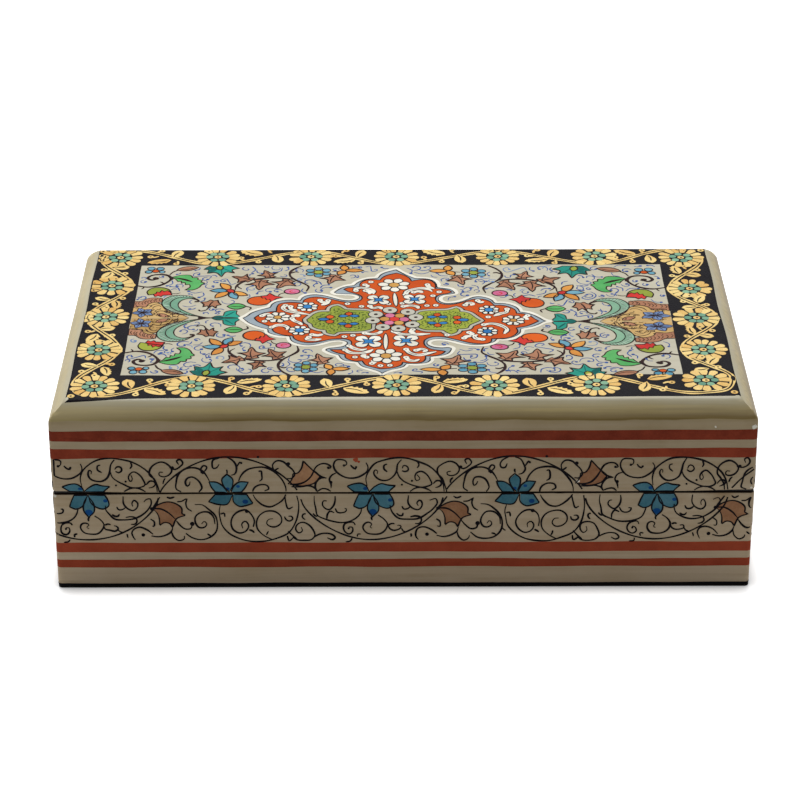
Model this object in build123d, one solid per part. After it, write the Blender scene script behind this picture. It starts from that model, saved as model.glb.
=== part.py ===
"""Kashmiri papier mache box: a flat rectangular keepsake box whose lid lifts off.

The carcass is cut from pressed paper-pulp board. The base is a floor let in between four
mitred walls, and the lid is a bevelled top board on four mitred walls. Pasted paper and
chalk ground make one seamless skin over each half, which carries the painting. Four lip
strips, glued inside the base, stand above its rim and locate the lid.

Millimetres. The origin is at the centre of the underside, +X is to the right along the
long side, +Y is to the back and +Z is up. Each piece is written to parts/NODE.step.
"""

import os
from math import hypot

from build123d import *

# ---- driving sizes -------------------------------------------------------------------
BOX_LENGTH = 178.0  # over the painted skin, left to right
BOX_WIDTH = 102.0  # over the painted skin, front to back
BOX_HEIGHT = 52.2  # underside sheet to the painted top
SEAM_HEIGHT = 27.6  # where the lid meets the base

SKIN = 1.0  # pasted paper and chalk ground over the boards
WALL_BOARD = 3.6  # pulp board of the eight walls
FLOOR_BOARD = 3.2  # pulp board let in between the base's walls
TOP_BOARD = 4.8  # thicker board, to take the bevel

BEVEL_RUN = 4.2  # how far the lid's bevel comes in over the top
BEVEL_DROP = 3.9  # how far it comes down the side
EDGE_SOFTNESS = 1.5  # radius worn and sanded into the lid's edges and corners
FOOT_SOFTNESS = 0.8  # the same along the base's lower edges
SEAM_BREAK = 0.35  # small bevel on both painted edges at the seam

UNDERSIDE_SHEET = 0.8  # black flocked sheet that the box stands on
UNDERSIDE_INSET = 1.0  # how far its edge lies inside the wall's outer face
UNDERSIDE_CORNER = 2.0  # radius cut on its corners

LIP_STRIP = 2.4  # thickness of the strips glued inside the base
LIP_RISE = 5.6  # how far they stand above the seam
LIP_CLEARANCE = 0.4  # pared off their outer face, so that the lid slides on
LIP_ROUND = 0.9  # rounding of their top edges

# ---- sizes that follow ---------------------------------------------------------------
carcass_length = BOX_LENGTH - 2 * SKIN
carcass_width = BOX_WIDTH - 2 * SKIN
inside_length = carcass_length - 2 * WALL_BOARD
inside_width = carcass_width - 2 * WALL_BOARD
carcass_top = BOX_HEIGHT - SKIN
wall_top = carcass_top - TOP_BOARD
floor_top = UNDERSIDE_SHEET + FLOOR_BOARD
lip_top = SEAM_HEIGHT + LIP_RISE

# The bevel's face on the boards lies one skin inside the painted bevel, so it comes in
# less far over the smaller top board, and comes down as far in proportion.
bevel_shift = SKIN * (BEVEL_RUN + BEVEL_DROP - hypot(BEVEL_RUN, BEVEL_DROP)) / BEVEL_DROP
board_bevel_run = BEVEL_RUN - bevel_shift
board_bevel_drop = board_bevel_run * BEVEL_DROP / BEVEL_RUN


# ---- shapes that repeat --------------------------------------------------------------
def slab(length, width, low, high):
    """A plain block centred on the Z axis, from one height to another."""
    return Pos(0, 0, low) * Box(
        length, width, high - low, align=(Align.CENTER, Align.CENTER, Align.MIN)
    )


def bevelled_block(length, width, low, high, run, drop):
    """A block whose four upper edges are planed to one bevel."""
    block = slab(length, width, low, high)
    upper_face = block.faces().sort_by(Axis.Z)[-1]
    return chamfer(upper_face.edges(), length=run, length2=drop, reference=upper_face)


def mitred_run(outline, length, thickness):
    """A board or strip along X, with both ends cut to 45 degree mitres.

    The outline is given as (depth, height) points, with depth measured inwards from the
    board's outer face. That face lies on the XZ plane, and is as long as the run.
    """
    heights = [height for _, height in outline]
    section = make_face(Polyline([(0, depth, height) for depth, height in outline], close=True))
    bar = extrude(section, amount=length / 2, dir=(1, 0, 0), both=True)
    mitres = make_face(
        Polyline(
            (-length / 2, 0),
            (length / 2, 0),
            (length / 2 - thickness, thickness),
            (-length / 2 + thickness, thickness),
            close=True,
        )
    )
    between_mitres = extrude(Pos(0, 0, min(heights)) * mitres, amount=max(heights) - min(heights))
    return bar & between_mitres


def four_sides(make_run, length, width):
    """Sets one run on each side of a rectangle, outer faces on its edges."""
    return {
        "front": Pos(0, -width / 2, 0) * make_run(length),
        "back": Pos(0, width / 2, 0) * Rot(0, 0, 180) * make_run(length),
        "left": Pos(-length / 2, 0, 0) * Rot(0, 0, -90) * make_run(width),
        "right": Pos(length / 2, 0, 0) * Rot(0, 0, 90) * make_run(width),
    }


def wall_boards(low, high):
    """The four mitred walls of one half, between two heights."""
    outline = [(0, low), (WALL_BOARD, low), (WALL_BOARD, high), (0, high)]
    return four_sides(
        lambda length: mitred_run(outline, length, WALL_BOARD), carcass_length, carcass_width
    )


# ---- the base ------------------------------------------------------------------------
def underside_sheet():
    """The black sheet under the floor, cut a little smaller than the box."""
    plan = RectangleRounded(
        BOX_LENGTH - 2 * UNDERSIDE_INSET, BOX_WIDTH - 2 * UNDERSIDE_INSET, UNDERSIDE_CORNER
    )
    return extrude(plan, amount=UNDERSIDE_SHEET)


def base_skin():
    """The painted skin round the base's walls: a sleeve with softened outer edges."""
    sleeve = slab(BOX_LENGTH, BOX_WIDTH, UNDERSIDE_SHEET, SEAM_HEIGHT)
    sleeve = fillet(sleeve.edges().filter_by(Axis.Z), EDGE_SOFTNESS)
    sleeve = fillet(sleeve.faces().sort_by(Axis.Z)[0].edges(), min(FOOT_SOFTNESS, 0.9 * SKIN))
    sleeve = chamfer(sleeve.faces().sort_by(Axis.Z)[-1].edges(), SEAM_BREAK)
    return sleeve - slab(carcass_length, carcass_width, 0, BOX_HEIGHT)


def lip_strip(length):
    """One lip strip: full height inside the base, and pared back above the rim."""
    outline = [
        (0, floor_top),
        (LIP_STRIP, floor_top),
        (LIP_STRIP, lip_top),
        (LIP_CLEARANCE, lip_top),
        (LIP_CLEARANCE, SEAM_HEIGHT),
        (0, SEAM_HEIGHT),
    ]
    strip = mitred_run(outline, length, LIP_STRIP)
    upper_edges = strip.edges().filter_by(Axis.X).filter_by_position(Axis.Z, lip_top, lip_top)
    return fillet(upper_edges, min(LIP_ROUND, 0.45 * (LIP_STRIP - LIP_CLEARANCE)))


# ---- the lid -------------------------------------------------------------------------
def lid_top_board():
    """The bevelled board that closes the lid."""
    return bevelled_block(
        carcass_length, carcass_width, wall_top, carcass_top, board_bevel_run, board_bevel_drop
    )


def lid_skin():
    """The painted skin over the lid: a cap, with soft edges round its bevel."""
    cap = bevelled_block(BOX_LENGTH, BOX_WIDTH, SEAM_HEIGHT, BOX_HEIGHT, BEVEL_RUN, BEVEL_DROP)
    seam_edges = cap.faces().sort_by(Axis.Z)[0].edges()
    cap = fillet(cap.edges() - seam_edges, EDGE_SOFTNESS)
    cap = chamfer(cap.faces().sort_by(Axis.Z)[0].edges(), SEAM_BREAK)
    carcass = bevelled_block(
        carcass_length, carcass_width, 0, carcass_top, board_bevel_run, board_bevel_drop
    )
    return cap - carcass


# ---- the whole box -------------------------------------------------------------------
def all_pieces():
    """Every piece of the box, by its node name."""
    pieces = {
        "underside_sheet": underside_sheet(),
        "base_floor_board": slab(inside_length, inside_width, UNDERSIDE_SHEET, floor_top),
        "base_skin": base_skin(),
        "lid_top_board": lid_top_board(),
        "lid_skin": lid_skin(),
    }
    for side, board in wall_boards(UNDERSIDE_SHEET, SEAM_HEIGHT).items():
        pieces[f"base_{side}_board"] = board
    for side, board in wall_boards(SEAM_HEIGHT, wall_top).items():
        pieces[f"lid_{side}_board"] = board
    for side, strip in four_sides(lip_strip, inside_length, inside_width).items():
        pieces[f"lip_{side}_strip"] = strip
    return pieces


os.makedirs("parts", exist_ok=True)
for node, piece in all_pieces().items():
    export_step(piece, f"parts/{node}.step")
    print(node, "volume", round(piece.volume, 1), "mm3")
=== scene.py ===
# %% [markdown]
# # A painted papier mache box from Kashmir
#
# The box is pressed paper pulp, skinned with pasted paper and chalk ground, painted by hand
# and varnished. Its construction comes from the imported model. This lesson gives it what the
# bench model lacks: the uneven hand-rubbed skin, the brush-laid ornament and the finishes.

# %% Load the frame
from math import cos, pi, radians, sin

import bmesh
import bpy
import numpy as np
from mathutils import Matrix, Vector
from mathutils.geometry import delaunay_2d_cdt


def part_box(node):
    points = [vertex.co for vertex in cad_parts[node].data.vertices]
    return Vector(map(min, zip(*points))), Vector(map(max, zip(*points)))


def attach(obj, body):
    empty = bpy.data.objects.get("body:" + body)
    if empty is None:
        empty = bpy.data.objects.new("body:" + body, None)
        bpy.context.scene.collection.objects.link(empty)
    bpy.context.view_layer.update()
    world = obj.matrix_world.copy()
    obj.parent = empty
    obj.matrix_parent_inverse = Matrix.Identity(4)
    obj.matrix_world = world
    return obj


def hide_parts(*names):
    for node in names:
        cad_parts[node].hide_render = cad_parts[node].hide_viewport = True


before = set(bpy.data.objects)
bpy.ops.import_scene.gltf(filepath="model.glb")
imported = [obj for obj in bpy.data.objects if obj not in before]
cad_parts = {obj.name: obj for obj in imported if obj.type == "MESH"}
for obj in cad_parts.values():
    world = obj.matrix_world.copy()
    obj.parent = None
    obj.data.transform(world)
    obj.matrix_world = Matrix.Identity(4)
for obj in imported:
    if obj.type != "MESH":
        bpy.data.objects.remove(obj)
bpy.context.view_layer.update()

# %% [markdown]
# ## Sizes
#
# Blender works in metres, but a painter's marks are easier to think of in millimetres. All
# sizes below are millimetres, and are turned to metres once, where a mesh is made. The box's
# own sizes are read from the model, so the finish always fits it.

# %% Read the box's sizes
MM = 0.001

_, lid_high = (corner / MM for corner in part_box("lid_skin"))
base_low, base_high = (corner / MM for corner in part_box("base_skin"))
_, board_high = (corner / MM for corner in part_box("lid_top_board"))
half_length = lid_high.x
half_width = lid_high.y
top_height = lid_high.z
seam_height = base_high.z
foot_height = base_low.z
skin_thickness = half_length - board_high.x
print("half length", round(half_length, 2), "half width", round(half_width, 2))
print("seam at", round(seam_height, 2))

# %% [markdown]
# ## Camera
#
# A long lens from a little above the front, as for a catalogue picture: the sides stay almost
# parallel and the painted top is seen at a shallow angle.

# %% Set up the camera
CAMERA_PLACE = (-0.0019, -0.6687, 0.3663)
CAMERA_DOWN = 26.82  # degrees below level
CAMERA_YAW = 0.097
CAMERA_ROLL = -0.108
LENS = 125.4

camera = bpy.data.objects.new("camera", bpy.data.cameras.new("camera"))
camera.data.lens = LENS
camera.matrix_world = (
    Matrix.Translation(CAMERA_PLACE)
    @ Matrix.Rotation(radians(-CAMERA_YAW), 4, "Z")
    @ Matrix.Rotation(radians(90 - CAMERA_DOWN), 4, "X")
    @ Matrix.Rotation(radians(CAMERA_ROLL), 4, "Z")
)
bpy.context.scene.collection.objects.link(camera)
bpy.context.scene.camera = camera
bpy.context.scene.view_settings.view_transform = "Standard"
print("camera", [round(value, 3) for value in camera.location])

# %% [markdown]
# ## Colours and nodes
#
# Paint is named by the hex code that a screen shows. Shaders add light, so the code is first
# turned to linear values. One small function adds a shader node with its settings and links.
# Where a link is given as a node, its first output is meant.


# %% Helpers for colours and nodes
def linear(code):
    """An sRGB hex code as the linear red, green, blue and alpha that shaders use."""
    parts = [int(code[i : i + 2], 16) / 255 for i in (1, 3, 5)]
    turned = [c / 12.92 if c <= 0.04045 else ((c + 0.055) / 1.055) ** 2.4 for c in parts]
    return (*turned, 1.0)


def output(source):
    """The first output that a node shows, or the output itself where one is given."""
    if isinstance(source, bpy.types.Node):
        return next(socket for socket in source.outputs if socket.enabled)
    return source


def add(tree, kind, settings=None, links=None):
    """Adds a node. Settings set its properties and inputs, and links feed its inputs."""
    node = tree.nodes.new(kind)
    for name, value in (settings or {}).items():
        if isinstance(name, int) or name in node.inputs:
            node.inputs[name].default_value = value
        else:
            setattr(node, name, value)
    for name, source in (links or {}).items():
        tree.links.new(output(source), node.inputs[name])
    return node


def new_material(name):
    """An empty material and its node tree."""
    material = bpy.data.materials.new(name)
    material.use_nodes = True
    material.node_tree.nodes.clear()
    return material, material.node_tree


print("linear stone grey", [round(value, 3) for value in linear("#D2CBB4")])

# %% [markdown]
# ## Light and floor
#
# One broad soft lamp stands high and a little behind, so that the painted top takes about its
# written colours while the front wall falls into shade. The world adds a low fill. The floor
# and the world look white to the camera and in reflections, and give the walls little light.

# %% Light the box
KEY_SIZE = 1.1
KEY_POWER = 19.6
KEY_PLACE = (-0.12, 0.77, 1.05)
FILL_LEVEL = 0.27
FLOOR_SIZE = 8.0
FLOOR_SHADE = 0.7
FLOOR_GLOW = 0.93
WHITE = (1, 1, 1, 1)
CONTACT = 0.005  # how far from the box its contact shadow reaches
CONTACT_DEPTH = 1.7  # how dark it grows towards the box


def seen_directly(tree):
    """One where the camera or a reflection looks, and zero where light only passes."""
    ray = add(tree, "ShaderNodeLightPath")
    seen = ray.outputs["Is Camera Ray"]
    for other in ("Is Glossy Ray", "Is Transmission Ray"):
        links = {0: seen, 1: ray.outputs[other]}
        seen = add(tree, "ShaderNodeMath", {"operation": "MAXIMUM"}, links)
    return seen


key = bpy.data.objects.new("key_light", bpy.data.lights.new("key_light", "AREA"))
key.data.size = KEY_SIZE
key.data.energy = KEY_POWER
key.location = KEY_PLACE
key.rotation_euler = key.location.to_track_quat("Z", "Y").to_euler()
bpy.context.scene.collection.objects.link(key)

world = bpy.data.worlds.new("studio")
world.use_nodes = True
world.node_tree.nodes.clear()
sky = world.node_tree
low = add(sky, "ShaderNodeBackground", {"Color": WHITE, "Strength": FILL_LEVEL})
white = add(sky, "ShaderNodeBackground", {"Color": WHITE, "Strength": 1.0})
both = add(sky, "ShaderNodeMixShader", links={0: seen_directly(sky), 1: low, 2: white})
add(sky, "ShaderNodeOutputWorld", links={"Surface": both})
bpy.context.scene.world = world

floor_paper, tree = new_material("white_paper_sweep")
near_box = add(tree, "ShaderNodeAmbientOcclusion", {"samples": 8, "Distance": CONTACT})
settings = {"operation": "POWER", 1: CONTACT_DEPTH}
near_box = add(tree, "ShaderNodeMath", settings, {0: near_box.outputs["AO"]})
settings = {"operation": "MULTIPLY", 1: FLOOR_GLOW}
glow = add(tree, "ShaderNodeMath", settings, {0: seen_directly(tree)})
glow = add(tree, "ShaderNodeMath", {"operation": "MULTIPLY"}, {0: glow, 1: near_box})
paper = add(tree, "ShaderNodeBsdfDiffuse", {"Color": (FLOOR_SHADE,) * 3 + (1,)})
shine = add(tree, "ShaderNodeEmission", links={"Strength": glow})
both = add(tree, "ShaderNodeAddShader", links={0: paper, 1: shine})
add(tree, "ShaderNodeOutputMaterial", links={"Surface": both})

floor_mesh = bpy.data.meshes.new("floor")
half_floor = FLOOR_SIZE / 2
signs = ((-1, -1), (1, -1), (1, 1), (-1, 1))
floor_mesh.from_pydata([(x * half_floor, y * half_floor, 0) for x, y in signs], [], [(0, 1, 2, 3)])
floor_mesh.materials.append(floor_paper)
floor = bpy.data.objects.new("floor", floor_mesh)
bpy.context.scene.collection.objects.link(floor)
print("lamp", KEY_POWER, "W, fill", FILL_LEVEL)

# %% [markdown]
# ## The uneven hand-made surface
#
# The skin is paper and chalk rubbed smooth by hand, so no face is quite flat. A few slow waves
# that cross at odd angles give that. The paint follows the same waves, so both use one
# function. The skin lies a hair inside the box's nominal faces, which leaves room for paint.
# The lid is an old one, so its edge at the seam wanders and has lifted a little at the corners.

# %% Measure the worn edges
SKIN_INSET = 0.2  # room for unevenness and paint
WALL_SWELL = 0.07
TOP_SWELL = 0.05
SWELL_WAVE = 34.0  # length of the longest wave
SWELL_WAVES = 5  # each is shorter and weaker than the one before
CORNER_RADIUS = 1.2  # of the box's upright edges
BEVEL_LINE = [  # the crowned bevel: distance in from the wall's face, and drop from the top
    (0.00, 5.60),
    (0.02, 4.80),
    (0.10, 4.25),
    (0.32, 3.78),
    (0.75, 3.24),
    (1.30, 2.60),
    (1.95, 1.94),
    (2.65, 1.30),
    (3.35, 0.72),
    (3.80, 0.38),
    (4.10, 0.19),
    (4.35, 0.07),
    (4.60, 0.015),
    (4.85, 0.00),
]
bevel_in, bevel_drop = (np.array(column) for column in zip(*BEVEL_LINE))
# Worn edges: distance in from the wall's face, and height off the foot or off the seam.
FOOT_LINE = [(0.50, 0.03), (0.22, 0.20), (0.06, 0.50), (0.00, 0.85)]
SEAM_LINE = [(0.45, 0.08), (0.20, 0.14), (0.05, 0.26), (0.00, 0.46)]
LID_SPREAD = 0.5  # how far the lid's edge has lifted at the box's corners
BASE_SPREAD = 0.1  # how far the base's edge has sunk there
SEAM_REACH = 15.0  # how far from a corner that goes on
SEAM_WANDER = 0.05
NEAR_SEAM = 2.0  # only what is this near the seam moves with it
print("bevel", BEVEL_LINE[-1][0], "mm in,", BEVEL_LINE[0][1], "mm down")


# %% Make the surface uneven
def swell(u, v, seed):
    """A slow unevenness between about -1 and 1."""
    total = 0
    for k in range(SWELL_WAVES):
        angle = seed + 2.4 * k
        turn = 2 * pi * (1 + 0.45 * k) / SWELL_WAVE
        along = u * cos(angle) + v * sin(angle)
        total = total + np.sin(along * turn + 1.9 * seed + 5.1 * k) / (1 + k)
    return total / 2.3


WALLS = {  # the direction to the right along each wall, and the way out of it
    "front": ((1, 0), (0, -1)),
    "back": ((-1, 0), (0, 1)),
    "left": ((0, -1), (-1, 0)),
    "right": ((0, 1), (1, 0)),
}
SEEDS = {"top": 1, "front": 2, "back": 3, "left": 4, "right": 5}


def uneven(points, normals):
    """Moves points out and in along their normals by the box's slow waves."""
    x, y, z = points.T
    nx, ny, nz = normals.T
    right = swell(y, z, SEEDS["right"])
    left = swell(y, z, SEEDS["left"])
    back = swell(x, z, SEEDS["back"])
    front = swell(x, z, SEEDS["front"])
    moved = points.copy()
    wall = WALL_SWELL * np.clip(1 - 2 * nz, 0, 1)
    moved[:, 0] += wall * nx * np.where(nx > 0, right, left)
    moved[:, 1] += wall * ny * np.where(ny > 0, back, front)
    moved[:, 2] += TOP_SWELL * np.maximum(nz, 0) * swell(x, y, SEEDS["top"])
    return moved


def open_seam(points, side):
    """Makes the seam's edge wander, and opens it a little near the corners."""
    x, y, z = points.T
    from_ends = half_length - np.abs(x)
    from_sides = half_width - np.abs(y)
    from_face = np.minimum(from_ends, from_sides)
    from_corner = np.maximum(from_ends, from_sides)
    close = np.clip(1 - np.abs(z - seam_height) / NEAR_SEAM, 0, 1)
    spread = LID_SPREAD if side > 0 else BASE_SPREAD
    wander = SEAM_WANDER * (1 + swell(x, y, 6 + side))
    opening = spread * np.exp(-((from_corner / SEAM_REACH) ** 2)) + wander
    moved = points.copy()
    moved[:, 2] += side * close * opening * (from_face < 2)
    return moved


print("swell in the middle of the top", round(float(swell(0, 0, SEEDS["top"])), 3))


# %% Carry a drawing to the box
def to_surface(sheet, points, height):
    """Carries points of a flat drawing to the box, at a height above its skin."""
    if sheet == "top":
        x, y = points.real, points.imag
        inward = np.minimum(half_length - np.abs(x), half_width - np.abs(y)) - SKIN_INSET
        z = top_height - SKIN_INSET - np.interp(inward, bevel_in, bevel_drop)
        return np.column_stack([x, y, z + TOP_SWELL * swell(x, y, SEEDS[sheet]) + height])
    along, out = half_length, half_width
    if sheet not in ("front", "back"):
        along, out = out, along
    flat = along - SKIN_INSET - CORNER_RADIUS
    past_flat = np.clip(np.abs(points.real) - flat, 0, CORNER_RADIUS * pi / 2)
    turn = past_flat / CORNER_RADIUS * np.sign(points.real)
    s = np.clip(points.real, -flat, flat) + CORNER_RADIUS * np.sin(turn)
    reach = out - SKIN_INSET - CORNER_RADIUS + CORNER_RADIUS * np.cos(turn)
    to_right, outward = (np.array([*way, 0.0]) for way in WALLS[sheet])
    place = s[:, None] * to_right + reach[:, None] * outward
    place[:, 2] = points.imag
    normals = np.sin(turn)[:, None] * to_right + np.cos(turn)[:, None] * outward
    side = 1 if points.imag.mean() > seam_height else -1
    return open_seam(uneven(place, normals), side) + height * normals


print("middle of the top", to_surface("top", np.zeros(1, complex), 0)[0].round(2))

# %% [markdown]
# ## The two painted skins
#
# Each skin is one closed mesh. Rings of points run round the box from the seam upwards, over
# the bevel and on to a grid that closes the top. Corners are small arcs that shrink to a point
# on the top. Then each outer point is moved by the same waves that the paint follows. The same
# rings make the fluffed edge of the flocked sheet under the box.

# %% Draw rings round the box
CORNER_STEPS = 6
CELL = 1.8  # size of a mesh cell on the walls and top
steps_long = round(2 * half_length / CELL)
steps_short = round(2 * half_width / CELL)


def ring(inward, height):
    """Points round the box, at a distance in from its outer faces and at one height."""
    radius = max(CORNER_RADIUS + SKIN_INSET - inward, 0)
    a = half_length - inward
    b = half_width - inward
    corners = [complex(-a, -b), complex(a, -b), complex(a, b), complex(-a, b)]
    centres = [corner + radius * (1+1j) * 1j**k for k, corner in enumerate(corners)]
    points = []
    for k in range(4):
        turns = pi + k * pi / 2 + np.linspace(0, pi / 2, CORNER_STEPS + 1)
        arc = centres[k] + radius * np.exp(1j * turns)
        following = centres[(k + 1) % 4] + radius * np.exp(1j * turns[-1])
        steps = (steps_long, steps_short)[k % 2]
        points.extend(arc)
        points.extend(arc[-1] + (following - arc[-1]) * np.arange(1, steps) / steps)
    points = np.array(points)
    return np.column_stack([points.real, points.imag, np.full(len(points), height)])


print("ring", len(ring(SKIN_INSET, seam_height)), "points")

# %% Build a closed skin
SHARP_FROM = 50  # degrees between faces, from which an edge is kept sharp


def build_skin(name, profile, seam_side, capped):
    """A closed skin from rings. A capped one is closed by a flat inside and a gridded top."""
    rings = [ring(inward, height) for inward, height in profile]
    count = len(rings[0])
    made = bmesh.new()
    for row in rings:
        for point in row:
            made.verts.new(point)
    made.verts.ensure_lookup_table()
    for level in range(len(rings) - 1 if capped else len(rings)):
        low = level * count
        high = (level + 1) % len(rings) * count
        for k in range(count):
            near = (k + 1) % count
            made.faces.new([made.verts[i] for i in (low + k, low + near, high + near, high + k)])
    if capped:
        made.faces.new([made.verts[k] for k in range(count)][::-1])
        last_inward, last_height = profile[-1]
        a = half_length - last_inward
        b = half_width - last_inward
        xs = np.linspace(-a, a, steps_long + 1)
        ys = np.linspace(-b, b, steps_short + 1)
        grid = [[made.verts.new((x, y, last_height)) for y in ys] for x in xs]
        for i in range(steps_long):
            for j in range(steps_short):
                corners = ((i, j), (i + 1, j), (i + 1, j + 1), (i, j + 1))
                made.faces.new([grid[a][b] for a, b in corners])
    bmesh.ops.remove_doubles(made, verts=made.verts, dist=1e-3)
    bmesh.ops.recalc_face_normals(made, faces=made.faces)
    mesh = bpy.data.meshes.new(name)
    made.to_mesh(mesh)
    made.free()
    points = np.array([vertex.co for vertex in mesh.vertices])
    normals = np.array([vertex.normal for vertex in mesh.vertices])
    inward = np.minimum(half_length - np.abs(points[:, 0]), half_width - np.abs(points[:, 1]))
    shell = top_height - SKIN_INSET - np.interp(inward - SKIN_INSET, bevel_in, bevel_drop)
    outer = (inward < skin_thickness - 0.1) | (points[:, 2] > shell - 0.3)
    moved = np.where(outer[:, None], uneven(points, normals), points)
    moved = open_seam(moved, seam_side)
    mesh.vertices.foreach_set("co", (moved * MM).astype(np.float32).ravel())
    mesh.shade_smooth()
    mesh.set_sharp_from_angle(angle=radians(SHARP_FROM))
    skin = bpy.data.objects.new(name, mesh)
    bpy.context.scene.collection.objects.link(skin)
    return skin


# %% Build both skins and the fluffed edge
BOARD_BEVEL = (3.6, 3.34)  # run and drop of the bevel on the board under the skin
FLOCK_EDGE = [  # fluffed out past the sheet: distance in, and height
    (0.34, 0.06),
    (0.24, 0.20),
    (0.24, 0.70),
    (0.40, 0.86),
    (1.30, 0.86),
    (1.30, 0.06),
]


def seam_edge(side):
    """The profile of a skin's worn edge at the seam, from the inside out."""
    edge = [(SKIN_INSET + inward, seam_height + side * off) for inward, off in SEAM_LINE]
    return [(skin_thickness, edge[0][1]), *edge]


bevel_foot = top_height - SKIN_INSET - BEVEL_LINE[0][1]
wall_rows = np.arange(seam_height + 2, bevel_foot - 1, CELL)
board_run, board_fall = BOARD_BEVEL
lid_profile = [
    (skin_thickness + board_run, board_high.z),
    (skin_thickness, board_high.z - board_fall),
    *seam_edge(1),
    *[(SKIN_INSET, height) for height in wall_rows],
    *[(SKIN_INSET + inward, top_height - SKIN_INSET - drop) for inward, drop in BEVEL_LINE],
]
lid_skin = build_skin("painted_lid_skin", lid_profile, 1, capped=True)

base_rows = np.arange(seam_height - 2, foot_height + 2, -CELL)
base_profile = [
    (skin_thickness, foot_height),
    *seam_edge(-1),
    *[(SKIN_INSET, height) for height in base_rows],
    *[(SKIN_INSET + inward, foot_height + rise) for inward, rise in FOOT_LINE[::-1]],
]
base_skin = build_skin("painted_base_skin", base_profile, -1, capped=False)
flock_edge = build_skin("underside_sheet_edge", FLOCK_EDGE, -1, capped=False)
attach(flock_edge, "base")
for skin, body, node in ((lid_skin, "lid", "lid_skin"), (base_skin, "base", "base_skin")):
    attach(skin, body)
    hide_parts(node)
    print(skin.name, len(skin.data.polygons), "faces")

# %% [markdown]
# ## Brush and fill
#
# Dried paint is a very thin solid on the skin, so every mark here is one: a line drawn with a
# brush, or an area filled with colour. A mark is drawn flat, in millimetres, and carried to the
# box. A point of the drawing is one complex number, x + y*1j, because then turning and scaling
# a motif is a single multiplication. Marks of one pigment in one place become one piece.

# %% Draw smooth lines
SPACING = 0.45  # between the points of a line


def smooth_line(points, spacing=SPACING, closed=False):
    """Even points along a smooth curve. A point given twice in a row is a sharp corner."""
    points = np.array(points, complex)
    if closed:
        points = np.concatenate([points[-2:], points, points[:3]])
    corners = [0, *np.flatnonzero(points[1:] == points[:-1]) + 1, len(points)]
    whole = []
    for begin, finish in zip(corners, corners[1:]):
        run = points[begin:finish]
        if len(run) < 2:
            continue
        gaps = np.abs(np.diff(run))
        place = np.concatenate([[0], np.cumsum(gaps)])
        straight = np.full(2, (run[1] - run[0]) / place[-1])
        slope = np.gradient(run, place) if len(run) > 2 else straight
        fine = np.linspace(0, place[-1], 10 * len(run))
        if closed:
            fine = np.linspace(place[2], place[-3], 10 * len(run))
        k = np.clip(np.searchsorted(place, fine) - 1, 0, len(run) - 2)
        t = (fine - place[k]) / gaps[k]
        curve = (
            (2 * t**3 - 3 * t**2 + 1) * run[k]
            + (t**3 - 2 * t**2 + t) * gaps[k] * slope[k]
            + (3 * t**2 - 2 * t**3) * run[k + 1]
            + (t**3 - t**2) * gaps[k] * slope[k + 1]
        )
        walked = np.concatenate([[0], np.cumsum(np.abs(np.diff(curve)))])
        count = max(3, round(walked[-1] / spacing) + 1)
        even = np.linspace(0, walked[-1], count)
        curve = np.interp(even, walked, curve.real) + 1j * np.interp(even, walked, curve.imag)
        whole.append(curve if not whole else curve[1:])
    line = np.concatenate(whole)
    return line[:-1] if abs(line[0] - line[-1]) < 1e-6 else line


print("line", len(smooth_line([0, 5+2j, 10])), "points over 10 mm")

# %% Lay marks on the box
COAT = 0.014  # thickness that each layer of paint adds
STACK = 0.0015  # tiny extra lift that keeps overlapping marks apart
SINK = 0.04  # how far a mark reaches into the skin
ATLAS = {  # where each sheet's middle lies on the flat map that holds all of them
    "top": 100+60j,
    "front": 100+5j,
    "back": 100+65j,
    "left": 55+125j,
    "right": 160+125j,
}
ATLAS_SIDE = 220.0  # width of that map
paint = {}
marks_made = 0
print("flat map", ATLAS_SIDE, "mm wide")


def lay(piece, sheet, points, faces, level, tone):
    """Adds one mark to a piece: its flat shape, thickened into a closed solid."""
    global marks_made
    marks_made += 1
    empty = {"points": [], "map": [], "faces": [], "tone": [], "count": 0}
    store = paint.setdefault(piece, empty)
    height = COAT * level + STACK * (marks_made % 8)
    first = store["count"]
    n = len(points)
    store["points"] += [to_surface(sheet, points, height), to_surface(sheet, points, -SINK)]
    store["map"] += [points + ATLAS[sheet]] * 2
    store["tone"].append(np.full(2 * n, tone))
    store["count"] += 2 * n
    rim = {}
    for face in faces:
        for a, b in zip(face, face[1:] + face[:1]):
            if (b, a) in rim:
                del rim[b, a]
            else:
                rim[a, b] = True
        store["faces"].append([first + i for i in face])
        store["faces"].append([first + n + i for i in reversed(face)])
    for a, b in rim:
        store["faces"].append([first + b, first + a, first + n + a, first + n + b])


# %% Draw with a brush
LINE_SWELL = 0.14  # how far a line's width wavers
TAPER = 5  # a line narrows over this part of its length at either end: one fifth
hand = np.random.default_rng(7)
print("the hand is seeded, so every run paints the same box")


def shade():
    """How light or dark one load of the brush is."""
    return float(np.clip(hand.normal(0, 0.4), -1, 1))


def brush(piece, line, width, level, sheet="top", thin=(0.45, 0.35), tone=None):
    """One brush line. Thin gives the share of the width left at its start and end."""
    line = np.asarray(line)
    step = np.gradient(line)
    t = np.linspace(0, 1, len(line))
    swells = 1 + LINE_SWELL * np.sin(t * len(line) * 0.35 + hand.uniform(0, 6))
    begin, end = thin
    opening = begin + (1 - begin) * t * TAPER
    closing = end + (1 - end) * (1 - t) * TAPER
    shape = np.minimum(1, np.minimum(opening, closing))
    side = 1j * step / np.maximum(np.abs(step), 1e-9) * width / 2 * shape * swells
    n = len(line)
    faces = [(n + i, n + i + 1, i + 1, i) for i in range(n - 1)]
    tone = shade() if tone is None else tone
    lay(piece, sheet, np.concatenate([line + side, line - side]), faces, level, tone)
    mark_busy(sheet, line)


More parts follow.
